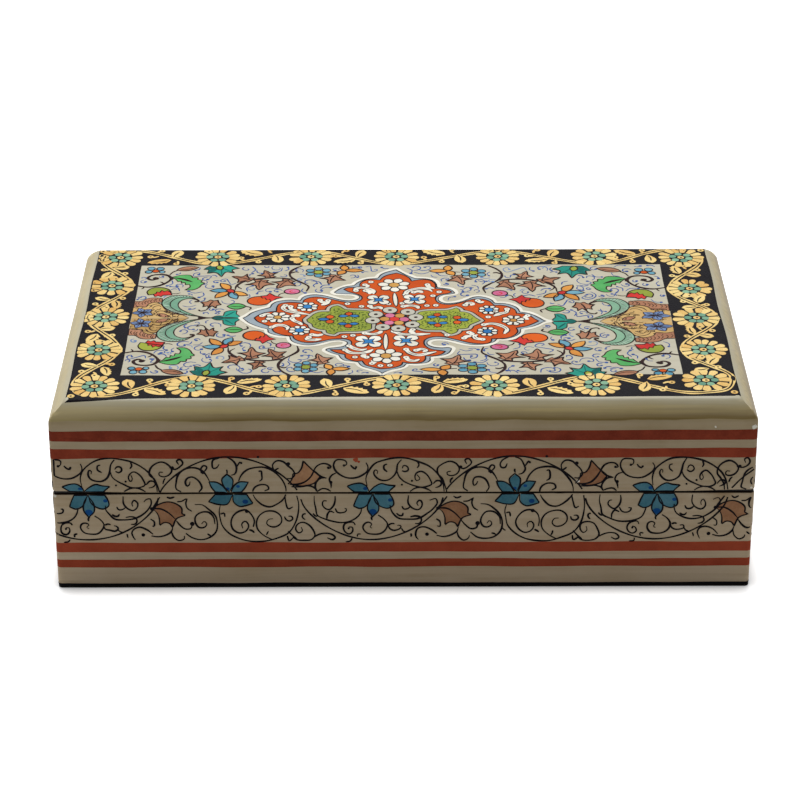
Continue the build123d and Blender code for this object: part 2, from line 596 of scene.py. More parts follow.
# %% Fill areas
GRID = 2.4  # spacing of points inside a large fill
SMALL = 7.0  # a fill smaller than this is a single face


def inside(points, loop):
    """Says which points lie inside a closed outline."""
    x, y = points.real[:, None], points.imag[:, None]
    following = np.roll(loop, -1)
    x0, y0, x1, y1 = loop.real, loop.imag, following.real, following.imag
    rise = np.where(y1 == y0, 1e-9, y1 - y0)
    crossed = ((y0 > y) != (y1 > y)) & (x < x0 + (y - y0) * (x1 - x0) / rise)
    return crossed.sum(axis=1) % 2 == 1


def lattice(loop, spacing):
    """Evenly spaced points inside an outline."""
    xs = np.arange(loop.real.min(), loop.real.max(), spacing)
    ys = np.arange(loop.imag.min(), loop.imag.max(), spacing)
    points = (xs[:, None] + 1j * ys[None, :]).ravel()
    return points[inside(points, loop)] if len(points) else points


def turned_left(loop):
    """The outline in anticlockwise order."""
    area = np.sum(loop.real * np.roll(loop, -1).imag - loop.imag * np.roll(loop, -1).real)
    return loop if area > 0 else loop[::-1]


def fill(piece, outline, level, sheet="top", tone=None, hole=None):
    """An area of paint inside an outline, less a hole."""
    loop = turned_left(np.asarray(outline))
    tone = shade() if tone is None else tone
    mark_busy(sheet, np.concatenate([loop, lattice(loop, 0.5)]) if hole is None else loop)
    if hole is None and max(np.ptp(loop.real), np.ptp(loop.imag)) < SMALL:
        lay(piece, sheet, loop, [tuple(range(len(loop)))], level, tone)
        return
    loops = [loop] if hole is None else [loop, turned_left(np.asarray(hole))]
    inner = lattice(loop, GRID)
    keep = np.min(np.abs(inner[:, None] - np.concatenate(loops)[None, :]), axis=1) > GRID / 4
    inner = inner[keep]
    if hole is not None:
        inner = inner[~inside(inner, loops[1])]
    every = np.concatenate([*loops, inner])
    edges = []
    begin = 0
    for part in loops:
        edges += [(begin + i, begin + (i + 1) % len(part)) for i in range(len(part))]
        begin += len(part)
    flat = [(p.real, p.imag) for p in every]
    result = delaunay_2d_cdt(flat, edges, [], 0, 1e-6)
    points = np.array([complex(*p) for p in result[0]])
    faces = [tuple(face) for face in result[2]]
    middles = np.array([points[list(face)].mean() for face in faces])
    wanted = inside(middles, loop)
    if hole is not None:
        wanted &= ~inside(middles, loops[1])
    faces = [face for face, is_in in zip(faces, wanted) if is_in]
    lay(piece, sheet, points, faces, level, tone)


print("lattice in a 10 mm square", len(lattice(np.array([0, 10, 10+10j, 10j]), GRID)), "points")

# %% Keep track of where paint lies
BUSY_CELL = 0.3
BUSY_LONG = 640  # cells of the busy map along the box and across it, with some to spare
BUSY_WIDE = 400
busy = np.zeros((BUSY_LONG, BUSY_WIDE), bool)


def cells(points):
    """The cells of the busy map under points of the top."""
    i = np.round(points.real / BUSY_CELL).astype(int) + BUSY_LONG // 2
    j = np.round(points.imag / BUSY_CELL).astype(int) + BUSY_WIDE // 2
    return np.clip(i, 0, BUSY_LONG - 1), np.clip(j, 0, BUSY_WIDE - 1)


def mark_busy(sheet, points):
    """Notes that the top is painted at these points."""
    if sheet == "top":
        busy[cells(np.asarray(points))] = True


print("busy map", busy.size, "cells")

# %% [markdown]
# ## Shapes that the painter repeats
#
# The ornament is built from a few strokes that every painter of this craft learns: a round
# petal, a pointed petal, a curl and a leaf with three tips. Each is drawn once here.


# %% Petals, dots, leaves and curls
def dot(centre, radius, squash=1.0):
    """A round or oval dab."""
    turns = np.linspace(0, 2 * pi, max(8, round(7 + 4 * radius)), endpoint=False)
    return centre + radius * np.cos(turns) + 1j * radius * squash * np.sin(turns)


def petal(base, tip, width, belly=1.0, blunt=0.8, bend=0.0, steps=8):
    """A petal from base to tip. Belly moves its widest place, and blunt rounds its ends."""
    t = np.linspace(0, 1, steps)
    along = tip - base
    side = 1j * along / abs(along)
    middle = base + along * t + side * bend * np.sin(pi * t)
    half = width / 2 * np.sin(pi * t**belly) ** blunt
    half[[0, -1]] = 0
    return np.concatenate([(middle + side * half)[:-1], (middle - side * half)[:0:-1]])


def curl(centre, radius, begin, turns, end=0.3):
    """A spiral line that winds in from a circle to a share of its radius."""
    t = np.linspace(0, 1, max(8, round(abs(turns) * radius * 9)))
    return centre + radius * (1 - (1 - end) * t**0.8) * np.exp(1j * (begin + 2 * pi * turns * t))


def placed(shape, base, tip):
    """Carries a shape drawn from 0 to 1 so that it runs from base to tip."""
    return base + (tip - base) * np.asarray(shape)


IVY_LEAF = [0, 0, 0.02+0.3j, 0.02+0.3j, 0.2+0.2j, 0.3+0.22j, 0.52+0.54j, 0.52+0.54j, 0.52+0.28j,
            0.6+0.15j, 0.78+0.12j, 1, 1, 0.8-0.09j, 0.62-0.14j, 0.52-0.24j, 0.44-0.52j, 0.44-0.52j,
            0.28-0.28j, 0.18-0.2j, 0.06-0.26j, 0.06-0.26j, 0, 0]
IVY_VEINS = ([0, 0.4+0.06j, 0.82], [0.1, 0.26+0.18j, 0.42+0.4j], [0.12, 0.26-0.18j, 0.38-0.38j])


def outlined(fill_piece, line_piece, outline, level, width=0.3, sheet="top"):
    """An area of colour with a thin dark line round it."""
    fill(fill_piece, outline, level, sheet)
    closed = np.append(outline, outline[:1])
    brush(line_piece, closed, width, level + 1, sheet, thin=(0.8, 0.8))


print("leaf outline", len(smooth_line(placed(IVY_LEAF, 0, 6))), "points")

# %% [markdown]
# ## The black border and its gold vine
#
# A band of lamp black frames the top. On it a gold vine runs round the box as one endless line:
# it passes each rosette on the outer side and the next on the inner side, and sends leaves and
# buds into the space between. So the rosettes are listed once, and all the rest follows them.

# %% Rule the black band
BAND_OUTER = (-84.7, 84.6, -46.8, 46.6)
BAND_INNER = (-72.0, 71.2, -32.8, 35.7)


def ruled(left, right, front, back, waver):
    """A rectangle ruled by hand, whose edges wander a little."""
    corners = [left + 1j * front, right + 1j * front, right + 1j * back, left + 1j * back]
    edges = []
    for start, end in zip(corners, corners[1:] + corners[:1]):
        steps = round(abs(end - start) / 2)
        t = np.arange(steps) / steps
        drift = waver * np.sin(t * steps * 0.31 + hand.uniform(0, 6)) * np.sin(pi * t) ** 0.3
        edges.append(start + (end - start) * (t + 1j * drift / abs(end - start)))
    return np.concatenate(edges)


def drawn_in(loop, distance):
    """The band's edge moved in towards the middle."""
    return loop.real * (1 - distance / half_length) + 1j * loop.imag * (1 - distance / half_width)


band_edge = ruled(*BAND_OUTER, 0.2)
FRONT_PLACES = [-84.7, -76, -68, -30, 20, 50, 84.6]  # along the front, and where the edge lies
FRONT_RULING = [-47.1, -46.6, -46.0, -45.3, -45.1, -45.5, -45.2]
FRONT_ZONE = -46
at_front = band_edge.imag < FRONT_ZONE
drift = 0.3 * (band_edge.imag - BAND_OUTER[2])
front_edge = band_edge.real + 1j * (np.interp(band_edge.real, FRONT_PLACES, FRONT_RULING) + drift)
band_edge = np.where(at_front, front_edge, band_edge)
CREST_ROWS = (0, 0.22, 0.45, 0.7, 1.0)  # close together, where the band turns over the edge
BAND_COAT = 1.5
crest = [drawn_in(band_edge, step) for step in CREST_ROWS]
n = len(band_edge)
strip = []
for row in range(len(crest) - 1):
    for i in range(n):
        k = (i + 1) % n
        strip.append((row * n + i, row * n + k, (row + 1) * n + k, (row + 1) * n + i))
lay("border_lamp_black", "top", np.concatenate(crest), strip, BAND_COAT, 0)
fill("border_lamp_black", crest[-1], BAND_COAT, tone=0, hole=ruled(*BAND_INNER, 0.12))
print("black band", n, "points round")

# %% Shape a rosette
ROSETTES = [
    -78-39j, -53.5-39j, -29.5-39j, -1.7-38.8j, 23-39j, 48.8-38.8j, 76.7-36.4j, 77.8-18.6j, 78+0.9j,
    77.8+19.4j, 77.4+40.3j, 53.4+41.2j, 26.5+41.3j, -1.7+41.2j, -25.4+41.4j, -51.3+41.3j, -78.3+41j,
    -79+22.2j, -78.9+2.2j, -78.9-17.9j,
]
ROSETTE_SIZE = 6.1
BEADS = 6
BEAD_RING = 0.375  # share of the rosette's radius
PETAL_LIMITS = ((-84.4, 84.3), (-46.0, 46.3))  # petals stop at the band's edge
ROSETTE_PETAL = [  # share of the rosette's radius, and of half a petal's turn
    (0.54, -0.8), (0.75, -0.86), (0.9, -0.86), (0.98, -0.6), (1.02, -0.25), (1.03, 0.1),
    (0.99, 0.55), (0.91, 0.86), (0.75, 0.88), (0.54, 0.82),
]


def rosette(at, size):
    """A ring of gold petals round a ring of green beads and a gold eye."""
    fill("border_lamp_black", dot(at, size * 0.94), 3)
    count = 12 + hand.integers(0, 3)
    first = hand.uniform(0, pi)
    rays, shares = np.array(ROSETTE_PETAL).T
    for k in range(count):
        turn = first + 2 * pi * k / count + hand.normal(0, 0.03)
        reach = size * hand.uniform(0.96, 1.04)
        spread = pi / count * 0.94
        outline = at + rays * reach * np.exp(1j * (turn + shares * spread))
        x = np.clip(outline.real, *PETAL_LIMITS[0])
        y = np.clip(outline.imag, *PETAL_LIMITS[1])
        fill("border_gold", x + 1j * y, 4)
    for k in range(BEADS):
        way = np.exp(1j * (first + 2 * pi * k / BEADS + hand.normal(0, 0.06)))
        fill("border_celadon", dot(at + BEAD_RING * size * way, 1.02), 4, tone=hand.uniform(-1, 1))
    fill("border_gold", dot(at, 0.95), 5)
    fill("border_lamp_black", dot(at + 0.1, 0.36), 6)


print("rosettes", len(ROSETTES))

# %% Shape the gold leaves and buds
GOLD_LEAF = [  # toothed on one side, and fuller on the other
    0, 0, 0.14+0.3j, 0.26+0.52j, 0.26+0.52j, 0.33+0.38j, 0.46+0.56j, 0.46+0.56j, 0.52+0.4j,
    0.66+0.52j, 0.66+0.52j, 0.7+0.34j, 0.86+0.36j, 0.86+0.36j, 0.88+0.2j, 1, 1, 0.9-0.26j,
    0.66-0.44j, 0.4-0.48j, 0.16-0.36j, 0, 0,
]


def gold_leaf(base, tip, width, toothed):
    """A gold leaf with a dark rib. The plain sort is widest past its middle."""
    if toothed:
        shape = smooth_line(np.array(GOLD_LEAF), 0.06)
        shape = placed(shape.real + 1j * shape.imag * width / abs(tip - base), base, tip)
    else:
        shape = petal(base, tip, width, 1.35, 0.62)
    fill("border_gold", shape, 4)
    rib = placed([0.1, 0.42+0.05j, 0.76-0.02j], base, tip)
    brush("border_lamp_black", smooth_line(rib), 0.38, 5)


def gold_bud(base, tip):
    """A small hooked bud with a dark eye."""
    hook = smooth_line([base, base + (tip - base) * (0.6+0.2j), tip])
    brush("border_gold", hook, 0.7, 3, thin=(0.6, 1))
    fill("border_gold", dot(tip, 0.88), 4)
    fill("border_lamp_black", dot(tip, 0.3), 5)


print("gold leaf", len(GOLD_LEAF), "points")

# %% Run the vine round the band
END_ZONE = 70  # a rosette further out than this lies on an end of the band
SIDE_ZONE = 34
VINE_CLEAR = 5.4  # how far from a rosette's middle the vine passes
VINE_EDGES = (84.6, 45.2, 46.5)  # how far out it may run at the ends, the front and the back
VINE_MARGIN = 0.9
NO_EDGE = 99


def outward(at):
    """The way out of the box from a rosette: a corner rosette has both sides' way."""
    x = np.sign(at.real) if abs(at.real) > END_ZONE else 0
    y = np.sign(at.imag) if abs(at.imag) > SIDE_ZONE else 0
    return complex(x, y) / abs(complex(x, y))


vine = []
for k, at in enumerate(ROSETTES):
    passes_outside = k % 2 == 0
    way_out = outward(at)
    corner = abs(way_out.real * way_out.imag) > 0.1
    spread = 0.95 if corner and passes_outside else 0.5
    end_edge, *side_edges = VINE_EDGES
    side_edge = side_edges[0] if at.imag < 0 else side_edges[1]
    beside = end_edge - abs(at.real) if abs(at.real) > END_ZONE else NO_EDGE
    beyond = side_edge - abs(at.imag) if abs(at.imag) > SIDE_ZONE else NO_EDGE
    clear = VINE_CLEAR
    if passes_outside:  # the vine stays on the band
        clear = min(beside, beyond) - VINE_MARGIN
        clear = clear if corner else min(clear, VINE_CLEAR)
    spin = 1 if passes_outside else -1
    for turn in (-spread, 0, spread):
        vine.append(at + clear * spin * way_out * np.exp(1j * spin * turn))
vine_line = smooth_line(vine, closed=True)
whole_vine = np.append(vine_line, vine_line[:1])
brush("border_gold", whole_vine, 1.45, 2.5, thin=(1, 1))
brush("border_lamp_black", whole_vine, 0.42, 3.5, thin=(1, 1))
print("vine", len(vine_line), "points round")

# %% Paint the leaves, the buds and the rosettes
# Between two rosettes the vine runs from one edge of the band to the other. Places are
# millimetres from the middle of the gap: along the band, and towards the field.
LEAVES = {  # base, tip, width and whether the leaf is toothed
    "inwards": [(-2.9-1.5j, -4.6+4.1j, 3.3, False), (0.4-1.5j, 6.8-4.3j, 3.6, True)],
    "outwards": [(-0.7+2j, 5.9+3.8j, 3.0, True), (-1+0.6j, -2.8-4.7j, 3.1, False)],
}
BUDS = {  # base and tip
    "inwards": [(-2-2.6j, -1.5-4.8j), (2.7+0.9j, 1.5+3.4j), (5.2+2.5j, 6.4+0.6j)],
    "outwards": [(2.9-0.8j, 5.2-0.4j), (3.4-2.4j, 2.2-4.4j), (-2.5+2.6j, -2.2+4.5j)],
}
FULL_GAP = 25  # leaves and buds shrink where two rosettes are closer than this
for k, at in enumerate(ROSETTES):
    following = ROSETTES[(k + 1) % len(ROSETTES)]
    along = (following - at) / abs(following - at)
    middle = (at + following) / 2
    size = min(1.0, abs(following - at) / FULL_GAP)
    course = "inwards" if k % 2 == 0 else "outwards"
    for base, tip, width, toothed in LEAVES[course]:
        tip = tip + complex(*hand.normal(0, 0.25, 2))
        width = width * (0.4 + 0.6 * size) * hand.uniform(0.9, 1.1)
        gold_leaf(middle + size * base * along, middle + size * tip * along, width, toothed)
    for base, tip in BUDS[course]:
        gold_bud(middle + size * base * along, middle + size * tip * along)
for at in ROSETTES:
    rosette(at, ROSETTE_SIZE * hand.uniform(0.98, 1.03))
CORNER_DOTS = (-83.4-44.4j, 83.2-43.2j, 83.4+45.2j, -83.5+45.4j)
for corner in CORNER_DOTS:
    fill("border_gold", dot(corner, 0.95), 4)
    fill("border_lamp_black", dot(corner, 0.35), 5)
print("border", marks_made, "marks so far")

# %% [markdown]
# ## One quarter, drawn four times
#
# The painter pounces one quarter of the ornament through pricked paper and repeats it in the
# other three, never quite alike. Here the front left quarter is drawn once, and a warp carries
# it to the others: it moves a few key lines to where they fall there, and so bends all between.

# %% Make the four warps
AXIS = -5.0  # the ornament's own middle line
LEAN_SPAN = 44  # distance from it at which a lean is full


def make_warp(x_from, x_to, y_from, y_to, lean=0.0):
    """A way to redraw the front left quarter elsewhere. Lean tilts it away from the axis."""

    def warp(points):
        points = np.asarray(points, complex)
        x = np.interp(points.real, x_from, x_to)
        y = np.interp(points.imag, y_from, y_to)
        return x + 1j * (y + lean * (x - AXIS) / LEAN_SPAN)

    return warp


AXIS_X = (-110, -72, -43.1, -5.4, 20)
BACK_LEFT_X = (-110.6, -72.3, -43.1, -1.6, 26)
FRONT_RIGHT_X = (113, 71.2, 39.3, -5.4, -35.3)
BACK_RIGHT_X = (113, 71.2, 39.3, -1.6, -29)
FIELD_Y = (-50, -33.1, 1.5, 20)
field_warps = [
    make_warp(AXIS_X, AXIS_X, FIELD_Y, FIELD_Y),
    make_warp(AXIS_X, BACK_LEFT_X, FIELD_Y, (53, 35.7, 1.5, -17)),
    make_warp(AXIS_X, FRONT_RIGHT_X, FIELD_Y, (-50, -33.1, 0.2, 18), lean=-0.9),
    make_warp(AXIS_X, BACK_RIGHT_X, FIELD_Y, (52, 35.7, 0.0, -18), lean=-0.9),
]
print("four quarters")

# %% [markdown]
# ## The medallion
#
# The middle of the top is a lobed medallion: a white line, a grey-blue band, and an orange
# ground with white flowers and scrolls. Two lime cartouches meet at a rosette in its middle.

# %% Draw the medallion's two edges
MEDALLION_EDGE = [  # the white line, from the front tip round by the left tip
    -5.4-33j, -5.4-33j, -6.4-31.6j, -8.4-30.1j, -10.5-28.7j, -11.6-27.1j, -12-25.9j, -12-25.9j,
    -13.6-25.6j, -15.5-24.9j, -16.6-23.2j, -17.1-21.6j, -17.1-21.6j, -18.4-20.9j, -19.8-19.7j,
    -20.6-18.5j, -20.3-17.4j, -19.3-16.7j, -17.3-16.1j, -15.5-15.1j, -15.1-13.9j, -16.3-13j,
    -18.4-13.2j, -20.6-14.5j, -22.8-15.6j, -25.1-15.9j, -27.6-15.1j, -29.2-13.6j, -30-11.6j,
    -30.1-10.4j, -30.1-10.4j, -32.2-10.3j, -34.3-9.3j, -35.9-7.6j, -36.1-5.9j, -36.1-5.9j,
    -37.6-5.2j, -39.4-3.8j, -41.4-1.6j, -42.6+0.4j, -43.2+1.5j, -43.2+1.5j, -42+2.9j, -40.8+4.9j,
    -38.6+6.9j, -36+8.4j, -36+8.4j, -35.6+10.1j, -34.3+12j, -32.3+13j, -29.8+13.2j, -27.9+12.7j,
    -27.9+12.7j, -27.6+14.2j, -26.4+15.8j, -24.3+16.6j, -21.8+16.3j, -19.8+15.4j, -18.5+14.6j,
    -16.9+13.5j, -14.9+12.8j, -12.9+13.2j, -12.2+14.5j, -13.3+15.6j, -15.9+16j, -18.3+16.4j,
    -19.1+17.5j, -18.4+19j, -17+20.8j, -15.2+22.1j, -13.6+22.6j, -13.6+22.6j, -13+23.9j,
    -11.6+25.6j, -9.6+26.9j, -7.2+27.4j, -7.2+27.4j, -6.5+29.3j, -5.2+30.9j, -3.4+32.2j, -1.6+33.3j,
    -1.6+33.3j, -0.1+31.2j, 1.5+29.3j, 3.7+27.2j, 3.7+27.2j, 5.6+27j, 7.7+26.4j, 9.1+25.1j,
    9.8+23.2j, 9.9+21j, 9.9+21j, 11.3+20.6j, 13.2+19.9j, 14.4+18.2j, 14.6+16.5j, 13.2+15.7j,
    11.3+15.1j, 10.4+14j, 10.4+12.2j, 11.5+11j, 13.2+11j, 15.5+12j, 17.2+13.4j, 18.6+14.6j,
    20.5+15.2j, 22.7+14.5j, 24.4+12.9j, 25.1+10.9j, 25.1+10.9j, 27.2+10.8j, 29.2+9.9j, 30.8+8.2j,
    31.6+6.1j, 31.7+5.2j, 31.7+5.2j, 33.2+4.8j, 34.9+3.6j, 36.6+1.6j, 38.2-0.4j, 39.4-1.1j,
    39.4-1.1j, 37.8-1.8j, 36.2-3.4j, 34.2-5j, 31.6-6.1j, 31.6-6.1j, 31.4-8j, 30.3-10.2j, 28.6-11.8j,
    26.4-12.6j, 24.9-12.5j, 24.9-12.5j, 24.4-13.8j, 22.8-15.2j, 20.4-16j, 17.8-15.9j, 15.2-14.9j,
    12.9-13.5j, 10.6-12.5j, 8.4-12.5j, 7.1-13.4j, 6.9-14.6j, 7.9-15.9j, 9.9-16.5j, 12.1-16.3j,
    13.1-17.2j, 12.9-19.1j, 12-21j, 10.2-22.3j, 7.5-22.9j, 7.5-22.9j, 7.6-24.3j, 6.6-26.2j, 4.7-27j,
    1.2-27j, 1.2-27j, 0.6-28.4j, -0.9-29.6j, -2.6-30.4j, -4.2-31.6j, -5.4-33j,
]
ORANGE_EDGE = [  # the orange ground inside it, in the same order
    -5.8-29.4j, -5.8-29.4j, -7.9-28.3j, -9.6-27.1j, -10.3-25.4j, -10.5-24.7j, -10.5-24.7j,
    -12-24.9j, -13.6-24.2j, -14.8-22.8j, -15-20.9j, -15-20.9j, -16.2-20.4j, -17.9-19.2j, -18.9-18j,
    -18.9-18j, -17-18j, -15.1-17.8j, -14-16.3j, -13.4-14.4j, -13.6-12.8j, -14.8-11.7j, -17-11.5j,
    -19.3-12j, -21.2-13j, -23.6-13.8j, -26-13.5j, -27.7-12.3j, -28.6-10.9j, -28.8-9.7j, -28.8-9.7j,
    -30.3-9.5j, -32.4-8.5j, -33.9-7j, -34.4-5.1j, -34.4-4.2j, -34.4-4.2j, -35.8-3.2j, -37.4-1.8j,
    -38.6-0.4j, -39.4+1.5j, -39.4+1.5j, -38.4+3.2j, -37+4.6j, -35.3+5.3j, -33.7+5.5j, -33.7+5.5j,
    -33.6+8.4j, -33.1+10.1j, -31.7+10.9j, -29.3+11.1j, -26.8+10.6j, -26.8+10.6j, -26.5+12.5j,
    -25.3+13.9j, -23.1+14.5j, -20.8+13.9j, -18.4+12.7j, -16.5+11.7j, -14.6+11.2j, -12.7+11.4j,
    -11.3+12.5j, -10.9+14.1j, -11.5+15.6j, -13.1+17j, -14.6+18j, -15.9+19.6j, -15.9+19.6j,
    -14.8+20.6j, -12.7+20.8j, -11.6+21.4j, -11.6+21.4j, -11.5+23.4j, -10.5+25.1j, -8.6+26j,
    -6.1+25.6j, -6.1+25.6j, -5.5+27.2j, -4.3+28.7j, -1.6+30.2j, -1.6+30.2j, 0.3+28.9j, 1.8+27j,
    2.5+24.8j, 2.5+24.8j, 3.7+25.4j, 5.8+25.8j, 7.7+25.1j, 8.8+23.2j, 9+19.9j, 9+19.9j, 10.8+19.4j,
    12.5+18.7j, 13.4+17.6j, 13.4+17.6j, 12.2+16.7j, 10.3+16j, 9.1+14.6j, 8.9+12.7j, 9.5+11j,
    10.8+9.9j, 12.7+9.6j, 14.6+10.2j, 16+11j, 17.7+12.2j, 19.6+13j, 21.8+12.8j, 23.2+11.8j,
    24.1+10.1j, 24.5+9j, 24.5+9j, 26.5+9j, 28.4+8j, 29.9+6.3j, 30.4+3.9j, 30.4+3.9j, 32.2+3.6j,
    33.9+2.2j, 35.1+0.3j, 36-0.9j, 36-0.9j, 34.6-2.3j, 33-3.7j, 29.9-5.1j, 29.9-5.1j, 30.2-7.3j,
    29.4-9.4j, 28-10.9j, 26-11.6j, 23.2-11.8j, 23.2-11.8j, 23-13.5j, 21.8-14.7j, 19.9-14.8j,
    17.5-14.2j, 15.3-13j, 13.2-11.8j, 10.8-10.6j, 8.4-10.4j, 6.8-11.1j, 5.7-12.5j, 5.5-14.4j,
    6-16.3j, 7.2-17.8j, 8.9-18.5j, 11-19.2j, 11-19.2j, 9.9-20.9j, 8.4-21.7j, 5.8-22j, 5.8-22j,
    5.7-24j, 4.9-25.5j, 3-26.2j, -0.1-25.6j, -0.1-25.6j, -0.4-27j, -1.6-28.2j, -3.2-29j, -5.8-29.4j,
]
print("medallion edges", len(MEDALLION_EDGE), "and", len(ORANGE_EDGE), "points")


# %% Paint the medallion's grounds
def inset(loop, distance):
    """An outline inside another, at an even distance from it."""
    loop = turned_left(loop)
    step = np.roll(loop, -1) - np.roll(loop, 1)
    moved = loop + 1j * step / np.abs(step) * distance
    nearest = np.abs(moved[:, None] - loop[None, :]).min(axis=1)
    return moved[nearest > 0.94 * abs(distance)]


def ring_line(piece, loop, width, level):
    """A line all the way round a closed outline."""
    brush(piece, np.append(loop, loop[:1]), width, level, thin=(1, 1))


medallion = smooth_line(MEDALLION_EDGE)
orange_edge = smooth_line(ORANGE_EDGE)
fill("medallion_slate_blue", medallion, 1)
fill("medallion_orange", orange_edge, 2)
ring_line("medallion_lamp_black", inset(medallion, 0.62), 0.34, 3)
ring_line("medallion_lamp_black", orange_edge, 0.36, 4)
ring_line("medallion_white", medallion, 0.95, 4)
WHITE_MARGIN = 0.6  # kept free of other paint outside the white line
mark_busy("top", (medallion[:, None] + WHITE_MARGIN * np.exp(1j * np.arange(0, 6.3, 0.5))).ravel())
print("medallion edge", len(medallion), "points")

# %% Paint the two cartouches
LEFT_CARTOUCHE = [
    -25.3+0.2j, -25.3+0.2j, -24.3+2j, -23.4+3.7j, -22+4.9j, -20+5.1j, -19.2+5.3j, -19.2+5.3j,
    -19.2+7j, -18.6+8.2j, -17.5+8.9j, -17.5+8.9j, -16.6+8j, -15.5+6.5j, -13.6+6j, -11.2+5.8j,
    -9.1+5.2j, -8.4+3j, -8.2+0.2j, -8.4-3.2j, -8.6-5.7j, -10.3-6.6j, -12.7-7j, -15-7j, -17.2-7.5j,
    -18.1-8.8j, -18.1-8.8j, -19.8-7.8j, -20.1-6.1j, -20.1-6.1j, -22.2-5.4j, -23.6-4j, -23.9-2.5j,
    -25-1.1j, -25.3+0.2j,
]
RIGHT_CARTOUCHE = [
    20.4-0.6j, 20.4-0.6j, 19.4+0.8j, 18.6+2.2j, 17.7+3.7j, 16.5+4.6j, 15.1+4.9j, 15.1+4.9j, 15.1+6j,
    14.3+7.3j, 14.3+7.3j, 13.4+6.5j, 11.8+5.8j, 9.4+5.6j, 6.5+5.4j, 4.6+4.6j, 3.9+2.4j, 3.7-0.4j,
    3.9-3.6j, 4.6-5.2j, 6-6.1j, 8.4-6.3j, 10.8-6.6j, 11.6-7.8j, 12.7-8.8j, 12.7-8.8j, 13.9-7.8j,
    14.5-5.7j, 14.5-5.7j, 17-5.1j, 17.5-3.5j, 18.5-2.4j, 19.4-1.6j, 20.4-0.6j,
]
for edge in (LEFT_CARTOUCHE, RIGHT_CARTOUCHE):
    loop = smooth_line(edge)
    fill("medallion_lamp_black", inset(loop, -1.5), 3)
    fill("medallion_stone", inset(loop, -1.15), 4)
    fill("medallion_lamp_black", inset(loop, -0.3), 5)
    fill("medallion_lime", loop, 6)
    for spot in lattice(inset(loop, 0.8), 0.92):
        way = np.exp(1j * hand.uniform(0, pi)) * hand.uniform(0.25, 0.45)
        spot = spot + complex(*hand.normal(0, 0.2, 2))
        tick = np.linspace(spot - way, spot + way, 3)
        brush("medallion_bottle_green", tick, 0.27, 7, thin=(1, 1))
print("cartouches", marks_made, "marks so far")


# %% Paint the cartouches' beads and the middle rosette
def inlaid(pigment, outline, level, width=0.28):
    """A small shape of the medallion with a thin black line round it."""
    outlined(f"medallion_{pigment}", "medallion_lamp_black", outline, level, width)


def trefoil(at, way):
    """An orange bead with two blue leaves below it."""
    across = way * 1j
    for side in (-1, 1):
        inlaid("cobalt", petal(at - 0.2 * way, at + side * 2.8 * across - 0.4 * way, 1.6, 1.2), 8)
    inlaid("orange", petal(at - 0.1 * way, at + 2.2 * way, 2.0, 1.1, 0.5), 8)


for at, way in ((-14.3+2.6j, 1j), (-14.4-2.8j, -1j), (9.2+1.9j, 1j), (9.2-2.5j, -1j)):
    trefoil(at, way)
for at, way in ((-19.3+0.3j, -1), (14.4-0.3j, 1)):
    for side in (-1, 1):
        inlaid("orange", dot(at + side * 1.5j, 1.1), 8)
    inlaid("cobalt", petal(at, at + way * 3.2, 1.7, 1.1, 0.6), 9)

CENTRE = -2.2+0.2j
for k in range(8):
    spot = CENTRE + 5.8 * np.exp(1j * (0.95 + pi * k / 4 + hand.normal(0, 0.04)))
    fill("medallion_lamp_black", dot(spot, 2.15), 8)
    fill("medallion_stone", dot(spot, 1.88), 9, tone=-1)
    fill("medallion_sepia", dot(spot, 0.55), 10)
fill("medallion_lamp_black", dot(CENTRE, 4.0), 8.5)
for k in range(6):
    spot = CENTRE + 2.6 * np.exp(1j * (1.0 + pi * k / 3))
    fill("medallion_pink" if k % 2 else "medallion_ochre", dot(spot, 1.25), 9.5)
fill("medallion_vermilion", dot(CENTRE, 1.3), 10)
print("rosette at", CENTRE)


# %% Paint the white flowers
def white_flower(at, count, ring, size, eye, eye_size):
    """A flower of round white petals about an eye."""
    for k in range(count):
        way = np.exp(1j * (0.3 + 2 * pi * k / count))
        outline = petal(at + 0.35 * ring * way, at + (ring + size) * way, 1.75 * size, 1.25, 0.6)
        inlaid("white", outline, 5, 0.32)
    inlaid(eye, dot(at, eye_size), 7, 0.3)


MEDALLION_FLOWERS = [  # place, petals, distance and size of a petal, pigment and size of the eye
    (-2.3+22.2j, 7, 3.0, 1.5, "ochre", 1.5),
    (-4.4-21.9j, 7, 3.0, 1.5, "ochre", 1.5),
    (-33.2+1.7j, 8, 2.3, 1.15, "ochre", 1.1),
    (29.3-0.5j, 8, 2.1, 1.1, "ochre", 1.0),
    (-25.5+8.3j, 8, 2.0, 1.0, "cobalt", 1.25),
    (-27.2-6.4j, 8, 2.0, 1.0, "cobalt", 1.25),
    (23+6.1j, 8, 1.9, 1.0, "cobalt", 1.25),
    (22.2-7.4j, 8, 1.9, 1.0, "cobalt", 1.25),
]
for flower in MEDALLION_FLOWERS:
    white_flower(*flower)
CROSSES = ((-6.5+12.6j, 1.0), (-9-13.2j, 1.15), (3.2+13j, 1.0), (0.8-12.9j, 1.1))
for at, size in CROSSES:
    for k in range(4):
        way = np.exp(1j * (pi / 4 + k * pi / 2)) * size
        inlaid("white", petal(at + 0.3 * way, at + 3.7 * way, 2.9 * size, 1.3, 0.45), 5, 0.3)
    star = [at + size * (2.0 if k % 2 else 0.85) * np.exp(1j * pi * k / 4) for k in range(8)]
    inlaid("cobalt", np.array(star), 7, 0.3)
for base, tip in ((-1.7+8.2j, -2.2+17.4j), (-4.5-8.2j, -4.5-18.2j)):
    inlaid("white", petal(base, tip, 1.3, 1.0, 0.5), 4, 0.3)
print("white flowers", len(MEDALLION_FLOWERS) + len(CROSSES))

